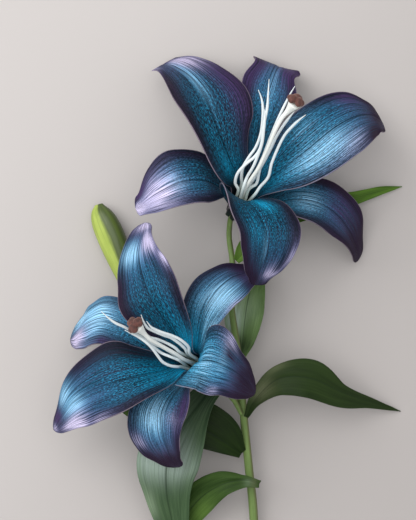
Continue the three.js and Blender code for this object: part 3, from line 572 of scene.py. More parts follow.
# A wash is a tint, the place of its centre along and across the blade, its length and width, and its
# strength. The sky blue and lilac washes are painted highlights. The plum, violet and ink washes are
# partly the tissue's own colour and partly painted shade. The cyan washes are the tissue's own colour.
TEPALS = (
    {
        "name": "upper_inner_left",
        "bloom": "upper",
        "ring": "inner",
        "heading": 132,
        "shade_dimming": 0.34,
        "washes": (
            ("lilac_highlight", 0.79, -0.45, 0.1, 0.55, 0.9),
            ("violet", 0.55, -0.7, 0.2, 0.3, 0.6),
            ("sky_highlight", 0.66, -0.02, 0.15, 0.2, 0.55),
            ("violet", 0.93, -0.1, 0.05, 0.9, 0.7),
            ("lilac_highlight", 0.9, 0.85, 0.1, 0.4, 0.5),
            ("cyan", 0.3, 0.1, 0.07, 0.5, 0.3),
        ),
        "rows": (
            (0.0105, -0.0035, 0.025, 0.0095, 0.0095, 0, 30),
            (0.0205, -0.0005, 0.038, 0.017, 0.0145, 0, 20),
            (0.0385, -0.0015, 0.0485, 0.02, 0.025, 0, 10),
            (0.06, -0.0095, 0.0495, 0.0215, 0.029, 0, 5),
            (0.0805, -0.017, 0.043, 0.0185, 0.022, 0, 0),
            (0.0975, -0.0205, 0.0325, 0.012, 0.0195, 0, -5),
            (0.105, -0.021, 0.025, 0.0105, 0.012, 0, -5),
            (0.106, -0.021, 0.0225, 0.011, 0.0125, 0, 0),
        ),
    },
    {
        "name": "upper_inner_right",
        "bloom": "upper",
        "ring": "inner",
        "heading": 20,
        "shade_dimming": 0.8,
        "washes": (
            ("lilac_highlight", 0.56, -0.6, 0.12, 0.45, 0.6),
            ("sky_highlight", 0.49, -0.3, 0.12, 0.5, 0.8),
            ("sky_highlight", 0.49, 0.45, 0.07, 0.5, 0.4),
            ("plum", 0.74, -0.9, 0.1, 0.5, 0.9),
            ("plum", 0.84, 0.3, 0.1, 1.2, 0.97),
            ("violet", 0.68, 0.7, 0.06, 0.4, 0.5),
        ),
        "rows": (
            (0.01, 0.0025, 0.025, 0.007, 0.007, 0, 25),
            (0.0185, 0.0035, 0.041, 0.016, 0.015, 0, 20),
            (0.0325, 0.005, 0.06, 0.0245, 0.0245, 0, 12),
            (0.054, 0.0145, 0.0685, 0.024, 0.024, 0, 5),
            (0.0745, 0.022, 0.068, 0.019, 0.02, 0, 0),
            (0.0895, 0.0245, 0.062, 0.011, 0.015, 0, -5),
            (0.0975, 0.0225, 0.0565, 0.0075, 0.011, 0, -5),
            (0.101, 0.02, 0.0525, 0.0065, 0.008, 0, 0),
        ),
    },
    {
        "name": "upper_inner_front",
        "bloom": "upper",
        "ring": "inner",
        "heading": 268,
        "shade_dimming": 0.5,
        "washes": (
            ("cyan", 0.34, 0.42, 0.07, 0.22, 0.7),
            ("cyan", 0.5, -0.4, 0.1, 0.3, 0.25),
            ("sky_highlight", 0.62, -0.02, 0.12, 0.12, 0.45),
            ("lilac_highlight", 0.79, 0.6, 0.09, 0.45, 0.7),
            ("lilac_highlight", 0.66, 0.95, 0.08, 0.2, 0.5),
            ("plum", 0.84, -0.6, 0.16, 0.7, 0.97),
            ("plum", 0.6, -0.9, 0.14, 0.3, 0.8),
        ),
        "rows": (
            (0.005, 0.0005, 0.025, 0.009, 0.021, 0, 40),
            (0.015, 0.0055, 0.0325, 0.02, 0.0235, 0, 30),
            (0.03, 0.0115, 0.034, 0.0235, 0.018, 0, 15),
            (0.04, 0.0145, 0.026, 0.0195, 0.0155, 0, 5),
            (0.046, 0.016, 0.011, 0.0145, 0.01, 0, -5),
            (0.048, 0.0175, 0.003, 0.008, 0.006, 0, -5),
            (0.049, 0.018, -0.0025, 0.0055, 0.0045, 0, 0),
        ),
    },
    {
        "name": "upper_outer_top",
        "bloom": "upper",
        "ring": "outer",
        "heading": 78,
        "shade_dimming": 0.85,
        "washes": (
            ("sky_highlight", 0.6, -0.05, 0.16, 0.26, 0.45),
            ("violet", 0.62, 0.75, 0.2, 0.3, 0.7),
            ("violet", 0.75, -0.6, 0.16, 0.5, 0.85),
            ("lilac_highlight", 0.92, 0.4, 0.07, 0.5, 0.2),
        ),
        "rows": (
            (0.0275, 0.0, 0.029, 0.007, 0.007, 0, 30),
            (0.049, 0.0035, 0.042, 0.014, 0.013, 0, 15),
            (0.0685, 0.0045, 0.0495, 0.0195, 0.018, 0, 5),
            (0.0855, 0.0035, 0.0505, 0.0155, 0.0135, 0, -5),
            (0.096, 0.0, 0.0425, 0.018, 0.0145, 0, 0),
            (0.097, -0.005, 0.0325, 0.0005, 0.0005, 0, 0),
        ),
    },
    {
        "name": "upper_outer_right",
        "bloom": "upper",
        "ring": "outer",
        "heading": 325,
        "shade_dimming": 0.7,
        "washes": (
            ("sky_highlight", 0.46, -0.05, 0.1, 0.55, 0.75),
            ("violet", 0.62, 0.3, 0.12, 0.8, 0.6),
            ("plum", 0.86, 0.0, 0.16, 1.5, 0.95),
            ("plum", 0.55, 0.95, 0.14, 0.25, 0.9),
        ),
        "rows": (
            (0.0145, 0.0115, 0.014, 0.014, 0.014, 0, 30),
            (0.025, 0.0225, 0.023, 0.0205, 0.0205, 0, 15),
            (0.0395, 0.0305, 0.027, 0.0195, 0.018, 0, 5),
            (0.0535, 0.0355, 0.023, 0.019, 0.0155, 0, 0),
            (0.0665, 0.039, 0.013, 0.016, 0.011, 0, 0),
            (0.0765, 0.041, 0.0005, 0.0085, 0.007, 0, 0),
            (0.082, 0.041, -0.0095, 0.0065, 0.0055, 0, 0),
        ),
    },
    {
        "name": "upper_outer_left",
        "bloom": "upper",
        "ring": "outer",
        "heading": 200,
        "shade_dimming": 0.6,
        "washes": (
            ("sky_highlight", 0.62, 0.05, 0.09, 0.45, 0.7),
            ("lilac_highlight", 0.74, 0.2, 0.16, 0.75, 1.0),
            ("lilac_highlight", 0.94, 0.3, 0.15, 0.7, 1.0),
            ("violet", 0.88, -0.75, 0.1, 0.3, 0.9),
            ("plum", 0.38, 0.2, 0.07, 1.0, 0.5),
        ),
        "rows": (
            (0.0085, -0.0095, 0.0165, 0.0085, 0.0085, 0, 15),
            (0.023, -0.015, 0.024, 0.0185, 0.02, 0, 15),
            (0.04, -0.016, 0.024, 0.0175, 0.024, 0, 5),
            (0.0525, -0.016, 0.014, 0.0135, 0.019, 0, 0),
            (0.0595, -0.0165, 0.002, 0.008, 0.009, 0, -5),
            (0.062, -0.0175, -0.005, 0.006, 0.0065, 0, 0),
        ),
    },
    {
        "name": "lower_inner_top",
        "bloom": "lower",
        "ring": "inner",
        "heading": 108,
        "shade_dimming": 0.65,
        "washes": (
            ("cyan", 0.27, -0.6, 0.09, 0.5, 0.9),
            ("sky_highlight", 0.77, 0.4, 0.08, 0.6, 0.85),
            ("lilac_highlight", 0.83, -0.55, 0.1, 0.5, 0.95),
            ("lilac_highlight", 0.97, -0.2, 0.07, 1.0, 0.85),
            ("lilac_highlight", 0.68, -0.95, 0.08, 0.18, 0.7),
            ("ink", 0.48, 0.3, 0.09, 0.5, 0.4),
            ("plum", 0.5, 0.95, 0.2, 0.2, 0.8),
        ),
        "rows": (
            (0.0065, -0.0005, 0.03, 0.005, 0.006, 0, 30),
            (0.015, -0.0005, 0.0445, 0.0105, 0.0135, 0, 20),
            (0.0345, 0.002, 0.0615, 0.0205, 0.0205, 0, 10),
            (0.0525, 0.003, 0.061, 0.0175, 0.0195, 0, 5),
            (0.0685, 0.0025, 0.0555, 0.014, 0.014, 0, 0),
            (0.083, -0.001, 0.0465, 0.0105, 0.007, 0, -5),
            (0.0925, -0.004, 0.0405, 0.0065, 0.006, 0, 0),
        ),
    },
    {
        "name": "lower_inner_right",
        "bloom": "lower",
        "ring": "inner",
        "heading": 350,
        "shade_dimming": 1.0,
        "washes": (
            ("sky_highlight", 0.42, -0.2, 0.16, 0.8, 0.68),
            ("cyan", 0.2, 0.2, 0.14, 1.0, 0.75),
            ("sky_highlight", 0.1, 0.0, 0.1, 1.0, 0.4),
            ("sky_highlight", 0.6, 0.1, 0.09, 0.6, 0.5),
            ("lilac_highlight", 0.62, 0.75, 0.1, 0.4, 0.65),
            ("lilac_highlight", 0.6, -0.9, 0.09, 0.25, 0.5),
            ("plum", 0.88, 0.0, 0.14, 1.5, 0.97),
            ("plum", 0.66, 0.45, 0.1, 0.35, 0.7),
        ),
        "rows": (
            (0.009, -0.001, 0.034, 0.007, 0.0205, -30, 8),
            (0.0165, 0.0, 0.039, 0.0225, 0.0215, -8, 8),
            (0.025, -0.001, 0.0385, 0.0215, 0.0215, 0, 0),
            (0.032, -0.003, 0.032, 0.015, 0.0185, 0, -10),
            (0.038, -0.007, 0.0195, 0.011, 0.0145, 0, -10),
            (0.0415, -0.013, 0.0055, 0.0045, 0.0045, 0, 0),
        ),
    },
    {
        "name": "lower_inner_left",
        "bloom": "lower",
        "ring": "inner",
        "heading": 208,
        "shade_dimming": 0.7,
        "washes": (
            ("cyan", 0.2, 0.75, 0.12, 0.5, 1.0),
            ("cyan", 0.36, 0.25, 0.08, 0.4, 0.4),
            ("sky_highlight", 0.79, 0.1, 0.08, 0.45, 0.8),
            ("lilac_highlight", 0.82, 0.75, 0.1, 0.4, 0.95),
            ("lilac_highlight", 0.66, 0.95, 0.07, 0.2, 0.6),
            ("sky_highlight", 0.81, -0.6, 0.06, 0.45, 0.75),
            ("violet", 0.91, -0.4, 0.05, 0.6, 0.85),
            ("lilac_highlight", 0.98, 0.0, 0.03, 0.9, 0.6),
            ("ink", 0.45, -0.75, 0.16, 0.35, 0.75),
        ),
        "rows": (
            (0.008, -0.0015, 0.0235, 0.0065, 0.0055, 0, 25),
            (0.016, 0.0, 0.037, 0.012, 0.012, 0, 20),
            (0.0265, 0.0005, 0.0535, 0.0165, 0.022, 0, 10),
            (0.0415, -0.0025, 0.058, 0.021, 0.0265, 0, 5),
            (0.0585, -0.007, 0.055, 0.021, 0.021, 0, 0),
            (0.075, -0.01, 0.0455, 0.0185, 0.0145, 0, 0),
            (0.09, -0.009, 0.033, 0.0105, 0.007, 0, -5),
            (0.1005, -0.008, 0.023, 0.0045, 0.0035, 0, 0),
        ),
    },
    {
        "name": "lower_outer_right",
        "bloom": "lower",
        "ring": "outer",
        "heading": 48,
        "shade_dimming": 0.85,
        "washes": (
            ("sky_highlight", 0.54, -0.35, 0.15, 0.8, 1.0),
            ("sky_highlight", 0.38, -0.6, 0.1, 0.6, 0.7),
            ("cyan", 0.3, 0.2, 0.08, 0.6, 0.8),
            ("lilac_highlight", 0.56, -0.95, 0.1, 0.2, 0.5),
            ("plum", 0.84, 0.5, 0.09, 0.6, 0.9),
            ("violet", 0.8, -0.2, 0.06, 0.8, 0.5),
        ),
        "rows": (
            (0.011, 0.0035, 0.0225, 0.009, 0.009, 0, 30),
            (0.0275, 0.0115, 0.0275, 0.014, 0.014, 0, 15),
            (0.0435, 0.0165, 0.0235, 0.016, 0.017, 0, 5),
            (0.058, 0.0175, 0.015, 0.0135, 0.016, 0, 0),
            (0.067, 0.016, 0.0035, 0.0085, 0.01, 0, 0),
            (0.074, 0.0155, -0.0065, 0.004, 0.004, 0, 0),
        ),
    },
    {
        "name": "lower_outer_bottom",
        "bloom": "lower",
        "ring": "outer",
        "heading": 272,
        "shade_dimming": 0.9,
        "washes": (
            ("sky_highlight", 0.51, -0.2, 0.12, 0.5, 1.0),
            ("lilac_highlight", 0.52, 0.6, 0.09, 0.45, 0.55),
            ("sky_highlight", 0.25, 0.0, 0.15, 1.0, 0.55),
            ("lilac_highlight", 0.66, -0.8, 0.06, 0.3, 0.5),
            ("plum", 0.88, 0.0, 0.13, 1.5, 0.98),
            ("violet", 0.45, 0.75, 0.16, 0.35, 0.8),
        ),
        "rows": (
            (0.011, -0.0055, 0.016, 0.008, 0.008, 0, 30),
            (0.0205, -0.013, 0.025, 0.017, 0.017, 0, 15),
            (0.033, -0.018, 0.0295, 0.017, 0.021, 0, 5),
            (0.046, -0.0195, 0.025, 0.0125, 0.022, 0, 0),
            (0.0555, -0.019, 0.015, 0.0085, 0.0185, 0, -5),
            (0.0605, -0.0185, 0.007, 0.0055, 0.0115, 0, -5),
            (0.064, -0.017, -0.0005, 0.005, 0.006, 0, 0),
        ),
    },
    {
        "name": "lower_outer_left",
        "bloom": "lower",
        "ring": "outer",
        "heading": 156,
        "shade_dimming": 0.8,
        "washes": (
            ("sky_highlight", 0.7, -0.1, 0.15, 0.8, 1.0),
            ("sky_highlight", 0.85, -0.6, 0.12, 0.5, 1.0),
            ("lilac_highlight", 0.88, 0.5, 0.13, 0.6, 1.0),
            ("violet", 0.6, 0.85, 0.09, 0.2, 0.6),
        ),
        "rows": (
            (0.012, -0.001, 0.023, 0.006, 0.007, 0, 20),
            (0.027, -0.0025, 0.032, 0.012, 0.013, 0, 10),
            (0.043, -0.005, 0.0395, 0.016, 0.015, 0, 5),
            (0.0585, -0.0045, 0.0425, 0.0175, 0.0145, 0, 0),
            (0.0705, 0.002, 0.0355, 0.019, 0.0125, 0, 0),
            (0.078, 0.009, 0.027, 0.0145, 0.011, 0, 0),
            (0.0835, 0.0155, 0.021, 0.0055, 0.0055, 0, 0),
        ),
    },
)


def bloom_directions(bloom, heading):
    """Out along a heading, sideways, and up a bloom's axis."""
    up = BLOOMS[bloom]["axis"]
    east = Vector((1, 0, 0))
    east = (east - up * east.dot(up)).normalized()
    out = Matrix.Rotation(math.radians(heading), 3, up) @ east
    return out, up.cross(out), up


def bloom_point(bloom, heading, outwards, sideways, upwards):
    """A place given in a bloom's own directions."""
    out, side, up = bloom_directions(bloom, heading)
    return BLOOMS[bloom]["base"] + out * outwards + side * sideways + up * upwards


# The near-black steps just past the claw are partly the throat's own dark teal and partly painted shade
# deep in the throat.
THROAT_TO_TIP = {
    "inner": (
        (0.00, (0.060, 0.110, 0.050)),
        (0.11, (0.004, 0.018, 0.024)),
        (0.20, (0.004, 0.045, 0.070)),
        (0.32, (0.006, 0.250, 0.440)),
        (0.46, (0.008, 0.170, 0.320)),
        (0.62, (0.035, 0.150, 0.300)),
        (0.78, (0.085, 0.120, 0.260)),
        (0.90, (0.110, 0.085, 0.180)),
        (1.00, (0.080, 0.045, 0.085)),
    ),
    "outer": (
        (0.00, (0.060, 0.110, 0.050)),
        (0.12, (0.004, 0.020, 0.035)),
        (0.26, (0.012, 0.120, 0.220)),
        (0.42, (0.040, 0.260, 0.460)),
        (0.60, (0.075, 0.180, 0.360)),
        (0.78, (0.090, 0.100, 0.210)),
        (0.90, (0.090, 0.070, 0.140)),
        (1.00, (0.075, 0.050, 0.085)),
    ),
}
# Tints for the washes and marks: sky and lilac are painted highlights, and their haloes the bluer colours
# at a highlight's rim; plum, violet and ink are the tissue's own dark colours, also used for painted
# shade.
TINTS = {
    "sky_highlight": (0.38, 0.72, 1.0),
    "lilac_highlight": (0.72, 0.66, 0.92),
    "cyan": (0.010, 0.500, 0.860),
    "violet": (0.062, 0.034, 0.120),
    "plum": (0.020, 0.008, 0.025),
    "ink": (0.001, 0.004, 0.008),
}
HIGHLIGHT_HALOES = {"sky_highlight": (0.020, 0.300, 0.560), "lilac_highlight": (0.110, 0.160, 0.400)}
RIM = (0.42, 0.34, 0.42)
RIM_STARTS = {"inner": (0.52, 0.90), "outer": (0.38, 0.84)}
PETAL_CLOUDS = (3.5, 2.2)
PETAL_STREAKS = (3.6, 36.0)
PETAL_FLECKS = (85.0, 50.0)
PETAL_VEINS = (1.2, 30.0)


def ramp(tree, value, stops):
    """Colours at places from 0 to 1, blended between."""
    node = add_node(tree, "ShaderNodeValToRGB", {"Fac": value})
    elements = node.color_ramp.elements
    while len(elements) < len(stops):
        elements.new(0.5)
    for element, (place, colour) in zip(elements, stops):
        element.position = place
        element.color = (*colour, 1)
    return node.outputs["Color"]


def tepal_material(name, ring, shade_dimming, washes, seed):
    """Satin petal tissue: colours from throat to tip, dimmed as painted shade, soft washes with painted
    highlights and shade, streaks, flecks, a plum rim and painted shade down the midrib.
    """
    material, tree, shader = new_material(name)
    along, across = place_on_piece(tree)
    edge = calc(tree, "ABSOLUTE", across)
    clouds = noise(tree, stretched(tree, along, across, *PETAL_CLOUDS, seed), 1.0)
    streaks = noise(tree, stretched(tree, along, across, *PETAL_STREAKS, seed + 1.0), 1.0, 3.0, 0.55)
    flecks = noise(tree, stretched(tree, along, across, *PETAL_FLECKS, seed + 2.0), 1.0, 2.0, 0.6)
    veins = noise(tree, stretched(tree, along, across, *PETAL_VEINS, seed + 3.0), 1.0, 1.0)
    cloud_shift = calc(tree, "MULTIPLY", calc(tree, "SUBTRACT", clouds, 0.5), 0.20)
    streak_shift = calc(tree, "MULTIPLY", calc(tree, "SUBTRACT", streaks, 0.5), 0.30)

    place = calc(tree, "ADD", along, calc(tree, "ADD", cloud_shift, streak_shift))
    colour = ramp(tree, place, THROAT_TO_TIP[ring])
    # The whole tepal is dimmed by its own factor: painted shade.
    colour = blend(tree, 1.0, colour, (shade_dimming, shade_dimming, shade_dimming), "MULTIPLY")
    rim_low, rim_high = RIM_STARTS[ring]
    ragged = calc(tree, "ADD", edge, calc(tree, "ADD", cloud_shift, streak_shift))
    rim = calc(tree, "MULTIPLY", rise(tree, ragged, rim_low, rim_high), 0.9)
    rim = calc(tree, "MULTIPLY", rim, rise(tree, along, 0.15, 0.45))
    colour = blend(tree, rim, colour, TINTS["plum"])

    # Washes: sky blue and lilac ones are painted highlights, plum, violet and ink ones partly the tissue's
    # own colour and partly painted shade.
    washed = 0.0
    for tint, centre_along, centre_across, length, width, strength in washes:
        wash = patch(tree, along, across, centre_along, centre_across, length, width)
        uneven = calc(tree, "ADD", 0.6, rise(tree, streaks, 0.36, 0.64))
        wash = calc(tree, "MULTIPLY", calc(tree, "MULTIPLY", wash, uneven), strength, clamp=True)
        halo = blend(tree, wash, HIGHLIGHT_HALOES.get(tint, TINTS[tint]), TINTS[tint])
        colour = blend(tree, wash, colour, halo)
        washed = calc(tree, "MAXIMUM", washed, wash)

    unwashed = calc(tree, "SUBTRACT", 0.75, calc(tree, "MULTIPLY", washed, 0.48))
    dark_streaks = calc(tree, "MULTIPLY", rise(tree, streaks, 0.52, 0.43), unwashed)
    colour = blend(tree, dark_streaks, colour, TINTS["ink"])
    fleck_zone = calc(tree, "SUBTRACT", 0.80, calc(tree, "MULTIPLY", rise(tree, along, 0.45, 0.75), 0.50))
    fleck_zone = calc(tree, "SUBTRACT", fleck_zone, calc(tree, "MULTIPLY", washed, 0.40))
    dark_flecks = calc(tree, "MULTIPLY", rise(tree, flecks, 0.48, 0.53), fleck_zone, clamp=True)
    colour = blend(tree, dark_flecks, colour, TINTS["ink"])
    bright_flecks = calc(tree, "MULTIPLY", rise(tree, flecks, 0.46, 0.40), fleck_zone)
    bright_flecks = calc(tree, "MULTIPLY", bright_flecks, rise(tree, edge, 0.75, 0.35), clamp=True)
    bright_flecks = calc(tree, "MULTIPLY", bright_flecks, rise(tree, along, 0.14, 0.26))
    colour = blend(tree, calc(tree, "MULTIPLY", bright_flecks, 0.38), colour, TINTS["cyan"])
    colour = blend(tree, calc(tree, "MULTIPLY", rise(tree, veins, 0.5, 0.62), 0.4), colour, TINTS["plum"])
    # A dark line down the sunken midrib: painted shade in its groove.
    groove_shade = calc(tree, "SUBTRACT", 1.0, rise(tree, edge, 0.0, 0.05))
    groove_shade = calc(tree, "MULTIPLY", groove_shade, calc(tree, "SUBTRACT", 1.0, rise(tree, along, 0.7, 0.95)))
    colour = blend(tree, calc(tree, "MULTIPLY", groove_shade, 0.6), colour, TINTS["ink"])
    pale_edge = calc(tree, "MULTIPLY", rise(tree, edge, 0.975, 0.995), 0.4)
    colour = blend(tree, pale_edge, colour, RIM)
    tree.links.new(colour, shader.inputs["Base Color"])

    roughness = calc(tree, "ADD", 0.42, calc(tree, "MULTIPLY", streaks, 0.22))
    tree.links.new(roughness, shader.inputs["Roughness"])
    shader.inputs["Specular IOR Level"].default_value = 0.10
    shader.inputs["Sheen Weight"].default_value = 0.01
    shader.inputs["Sheen Roughness"].default_value = 0.35
    shader.inputs["Sheen Tint"].default_value = (0.72, 0.78, 1.0, 1)
    height = calc(tree, "ADD", streaks, calc(tree, "MULTIPLY", veins, 0.8))
    height = calc(tree, "SUBTRACT", height, calc(tree, "MULTIPLY", dark_flecks, 0.25))
    raise_surface(tree, shader, height, 0.5, 0.0008)
    return material


for seed, tepal in enumerate(TEPALS):
    side = bloom_directions(tepal["bloom"], tepal["heading"])[1]
    rows = []
    for row in CLAWS[tepal["ring"]] + tepal["rows"]:
        point = bloom_point(tepal["bloom"], tepal["heading"], *row[:3])
        rows.append((*point, *row[3:]))
    name = "petal_" + tepal["name"]
    sheet = blade(
        name, rows, lambda direction: side, TEPAL_THICKNESS,
        TEPAL_RIB_DEPTH, TEPAL_RIB_WIDTH, TEPAL_WAVE, seed, cells=(56, 110),
    )
    satin = tepal_material(name, tepal["ring"], tepal["shade_dimming"], tepal["washes"], seed * 5.0)
    finish_piece(sheet, satin, "tepal", "tepal_" + tepal["name"])

# ---- The filaments ----
# Six slender white stalks round each pistil. They bulge out of the throat like a basket, run up
# together and taper to bare points, because their pollen sacs have been taken off.

FILAMENT_GIRTH = 0.00095
FILAMENT_FOOT_SWELL = 1.12
FILAMENT_TAPER = 0.25
FILAMENT_POINT = 0.22
FILAMENT_POINT_SLOPE = 4.5
FILAMENT_WHITE = (0.86, 0.91, 0.92)
FILAMENT_GREY = (0.62, 0.70, 0.72)
FILAMENT_FOOT_GREEN = (0.46, 0.56, 0.50)
WHITE_LINES = (12.0, 9.0)
FILAMENT_FOOT = ((0.0039, 0, 0.004), (0.0043, 0, 0.013))
FILAMENTS = (
    ("upper_1", "upper", 200, (
        (0.005, 0.1125, 0.0535),
        (0.003, 0.1175, 0.058),
        (0.0045, 0.1235, 0.064),
        (0.0095, 0.129, 0.069),
        (0.0155, 0.134, 0.074),
        (0.019, 0.1405, 0.079),
        (0.0205, 0.1525, 0.086),
        (0.0225, 0.163, 0.092),
        (0.023, 0.1715, 0.097),
        (0.0235, 0.1805, 0.101),
    )),
    ("upper_2", "upper", 120, (
        (0.007, 0.116, 0.05),
        (0.007, 0.1215, 0.056),
        (0.008, 0.1275, 0.062),
        (0.0115, 0.1335, 0.066),
        (0.016, 0.14, 0.07),
        (0.019, 0.1485, 0.076),
        (0.02, 0.1575, 0.082),
        (0.02, 0.164, 0.086),
        (0.019, 0.1695, 0.089),
        (0.017, 0.1745, 0.092),
    )),
    ("upper_3", "upper", 255, (
        (0.008, 0.114, 0.058),
        (0.0105, 0.121, 0.062),
        (0.014, 0.127, 0.069),
        (0.017, 0.134, 0.076),
        (0.0195, 0.1415, 0.084),
        (0.0205, 0.1505, 0.091),
        (0.021, 0.158, 0.096),
        (0.0205, 0.162, 0.099),
    )),
    ("upper_4", "upper", 310, (
        (0.0115, 0.113, 0.051),
        (0.0165, 0.117, 0.055),
        (0.018, 0.123, 0.06),
        (0.0195, 0.13, 0.066),
        (0.0225, 0.139, 0.074),
        (0.0255, 0.147, 0.081),
        (0.029, 0.1555, 0.088),
        (0.0325, 0.163, 0.094),
        (0.0365, 0.171, 0.099),
        (0.0395, 0.176, 0.102),
    )),
    ("upper_5", "upper", 350, (
        (0.0155, 0.11, 0.052),
        (0.019, 0.115, 0.056),
        (0.024, 0.121, 0.063),
        (0.026, 0.1295, 0.07),
        (0.03, 0.1395, 0.077),
        (0.034, 0.147, 0.083),
        (0.039, 0.1525, 0.089),
        (0.043, 0.156, 0.094),
        (0.0465, 0.1585, 0.098),
    )),
    ("upper_6", "upper", 50, (
        (0.0115, 0.1145, 0.046),
        (0.0155, 0.121, 0.054),
        (0.0205, 0.1295, 0.061),
        (0.025, 0.138, 0.068),
        (0.029, 0.1465, 0.076),
        (0.0335, 0.1535, 0.083),
        (0.037, 0.158, 0.087),
        (0.0395, 0.161, 0.09),
    )),
    ("lower_1", "lower", 255, (
        (-0.031, -0.0005, 0.06),
        (-0.034, 0.0, 0.068),
        (-0.0385, 0.001, 0.074),
        (-0.043, 0.0035, 0.079),
        (-0.046, 0.0075, 0.084),
        (-0.049, 0.012, 0.089),
        (-0.0525, 0.016, 0.094),
        (-0.057, 0.0195, 0.097),
        (-0.0615, 0.022, 0.102),
        (-0.066, 0.0245, 0.106),
    )),
    ("lower_2", "lower", 75, (
        (-0.0275, 0.008, 0.063),
        (-0.029, 0.0115, 0.071),
        (-0.033, 0.0155, 0.077),
        (-0.038, 0.019, 0.082),
        (-0.043, 0.021, 0.087),
        (-0.0475, 0.023, 0.091),
        (-0.052, 0.0255, 0.096),
        (-0.0545, 0.0295, 0.1),
        (-0.056, 0.034, 0.104),
    )),
    ("lower_3", "lower", 20, (
        (-0.026, 0.008, 0.066),
        (-0.027, 0.013, 0.075),
        (-0.0315, 0.0175, 0.083),
        (-0.037, 0.0205, 0.088),
        (-0.0425, 0.0225, 0.093),
        (-0.047, 0.0245, 0.097),
        (-0.05, 0.0265, 0.101),
        (-0.0525, 0.03, 0.105),
    )),
    ("lower_4", "lower", 165, (
        (-0.031, 0.0035, 0.06),
        (-0.0345, 0.0065, 0.067),
        (-0.0375, 0.009, 0.072),
        (-0.043, 0.0125, 0.077),
        (-0.048, 0.015, 0.082),
        (-0.053, 0.018, 0.088),
        (-0.058, 0.021, 0.095),
        (-0.0655, 0.026, 0.104),
        (-0.0715, 0.029, 0.11),
        (-0.076, 0.0325, 0.114),
        (-0.08, 0.0365, 0.118),
    )),
    ("lower_5", "lower", 115, (
        (-0.032, 0.009, 0.069),
        (-0.0355, 0.0125, 0.076),
        (-0.0405, 0.0155, 0.08),
        (-0.046, 0.018, 0.085),
        (-0.051, 0.0195, 0.088),
        (-0.0545, 0.0225, 0.092),
        (-0.0575, 0.025, 0.096),
    )),
    ("lower_6", "lower", 210, (
        (-0.032, 0.0035, 0.067),
        (-0.0355, 0.0055, 0.072),
        (-0.039, 0.007, 0.075),
        (-0.0445, 0.0095, 0.076),
        (-0.049, 0.0135, 0.08),
        (-0.0535, 0.0165, 0.085),
        (-0.057, 0.019, 0.089),
        (-0.0595, 0.021, 0.092),
    )),
)


def filament_girth(along):
    """Thickest at the foot, a little thinner all the way up, then down to a fine point."""
    body = FILAMENT_GIRTH * (FILAMENT_FOOT_SWELL - FILAMENT_TAPER * along)
    return body * min(1.0, FILAMENT_POINT + FILAMENT_POINT_SLOPE * (1 - along))


def plant_white(name, light, shade, foot):
    """Smooth white tissue, greener at its foot, with faint lines along it."""
    material, tree, shader = new_material(name)
    along, across = place_on_piece(tree)
    lines = noise(tree, stretched(tree, along, across, *WHITE_LINES, 4.0), 1.0)
    colour = blend(tree, lines, shade, light)
    colour = blend(tree, rise(tree, along, 0.32, 0.08), colour, foot)
    tree.links.new(colour, shader.inputs["Base Color"])
    roughness = calc(tree, "ADD", 0.35, calc(tree, "MULTIPLY", lines, 0.2))
    tree.links.new(roughness, shader.inputs["Roughness"])
    shader.inputs["Subsurface Weight"].default_value = 0.15
    shader.inputs["Subsurface Radius"].default_value = (0.001, 0.001, 0.001)
    raise_surface(tree, shader, lines, 0.3, 0.0002)
    return material


filament_white = plant_white("filament_white", FILAMENT_WHITE, FILAMENT_GREY, FILAMENT_FOOT_GREEN)
for name, bloom, heading, path in FILAMENTS:
    foot = tuple(tuple(bloom_point(bloom, heading, *row)) for row in FILAMENT_FOOT)
    strand = stalk("strand_" + name, foot + path, filament_girth, cells_round=10, cells_along=70)
    finish_piece(strand, filament_white, "filament", "filament_" + name)

# ---- The pistils and their stigmas ----
# In the middle of each bloom a green ovary carries a stout cream style, which flares into a cup.
# The cup holds the stigma: three velvety red-brown lobes round a small hollow.

OVARY_FOOT = ((0, 0, 0.002), (0, 0, 0.009), (0, 0, 0.016))
PISTIL_GIRTHS = (0.0020, 0.0022, 0.0016, 0.0012, 0.0012, 0.0012, 0.0012, 0.0013, 0.0017, 0.0040)
STIGMA_GIRTH = 0.0045
STIGMA_LOBE_GIRTH = 0.0028
STIGMA_TURN = 0.5
STIGMA_LUMPS = ((0.50, 0.0, 1.0), (0.82, 0.32, 0.8), (0.82, -0.32, 0.8))
STIGMA_DROP = 0.0012
STIGMA_SKIN_CELL = 0.00028
STYLE_CREAM = (0.88, 0.90, 0.86)
STYLE_GREY = (0.68, 0.72, 0.68)
OVARY_GREEN = (0.16, 0.26, 0.09)
VELVET_GRAIN = 1800.0
VELVET_FOLDS = 320.0
VELVET_DARK = (0.018, 0.005, 0.005)
VELVET_BROWN = (0.095, 0.028, 0.021)
VELVET_NAP = (0.12, 0.040, 0.030)
PISTILS = {
    "upper": {
        "path": (
            (0.0085, 0.112, 0.052),
            (0.0125, 0.119, 0.061),
            (0.0175, 0.1265, 0.069),
            (0.0215, 0.135, 0.077),
            (0.025, 0.143, 0.084),
            (0.028, 0.15, 0.09),
            (0.0315, 0.1565, 0.095),
            (0.0355, 0.161, 0.099),
            (0.039, 0.165, 0.103),
        ),
        "stigma": (0.0405, 0.168, 0.105),
    },
    "lower": {
        "path": (
            (-0.0295, 0.0045, 0.066),
            (-0.035, 0.0085, 0.075),
            (-0.0405, 0.012, 0.082),
            (-0.046, 0.0155, 0.089),
            (-0.0505, 0.0185, 0.095),
            (-0.0545, 0.0225, 0.1),
            (-0.0585, 0.027, 0.1055),
        ),
        "stigma": (-0.0605, 0.0285, 0.108),
    },
}


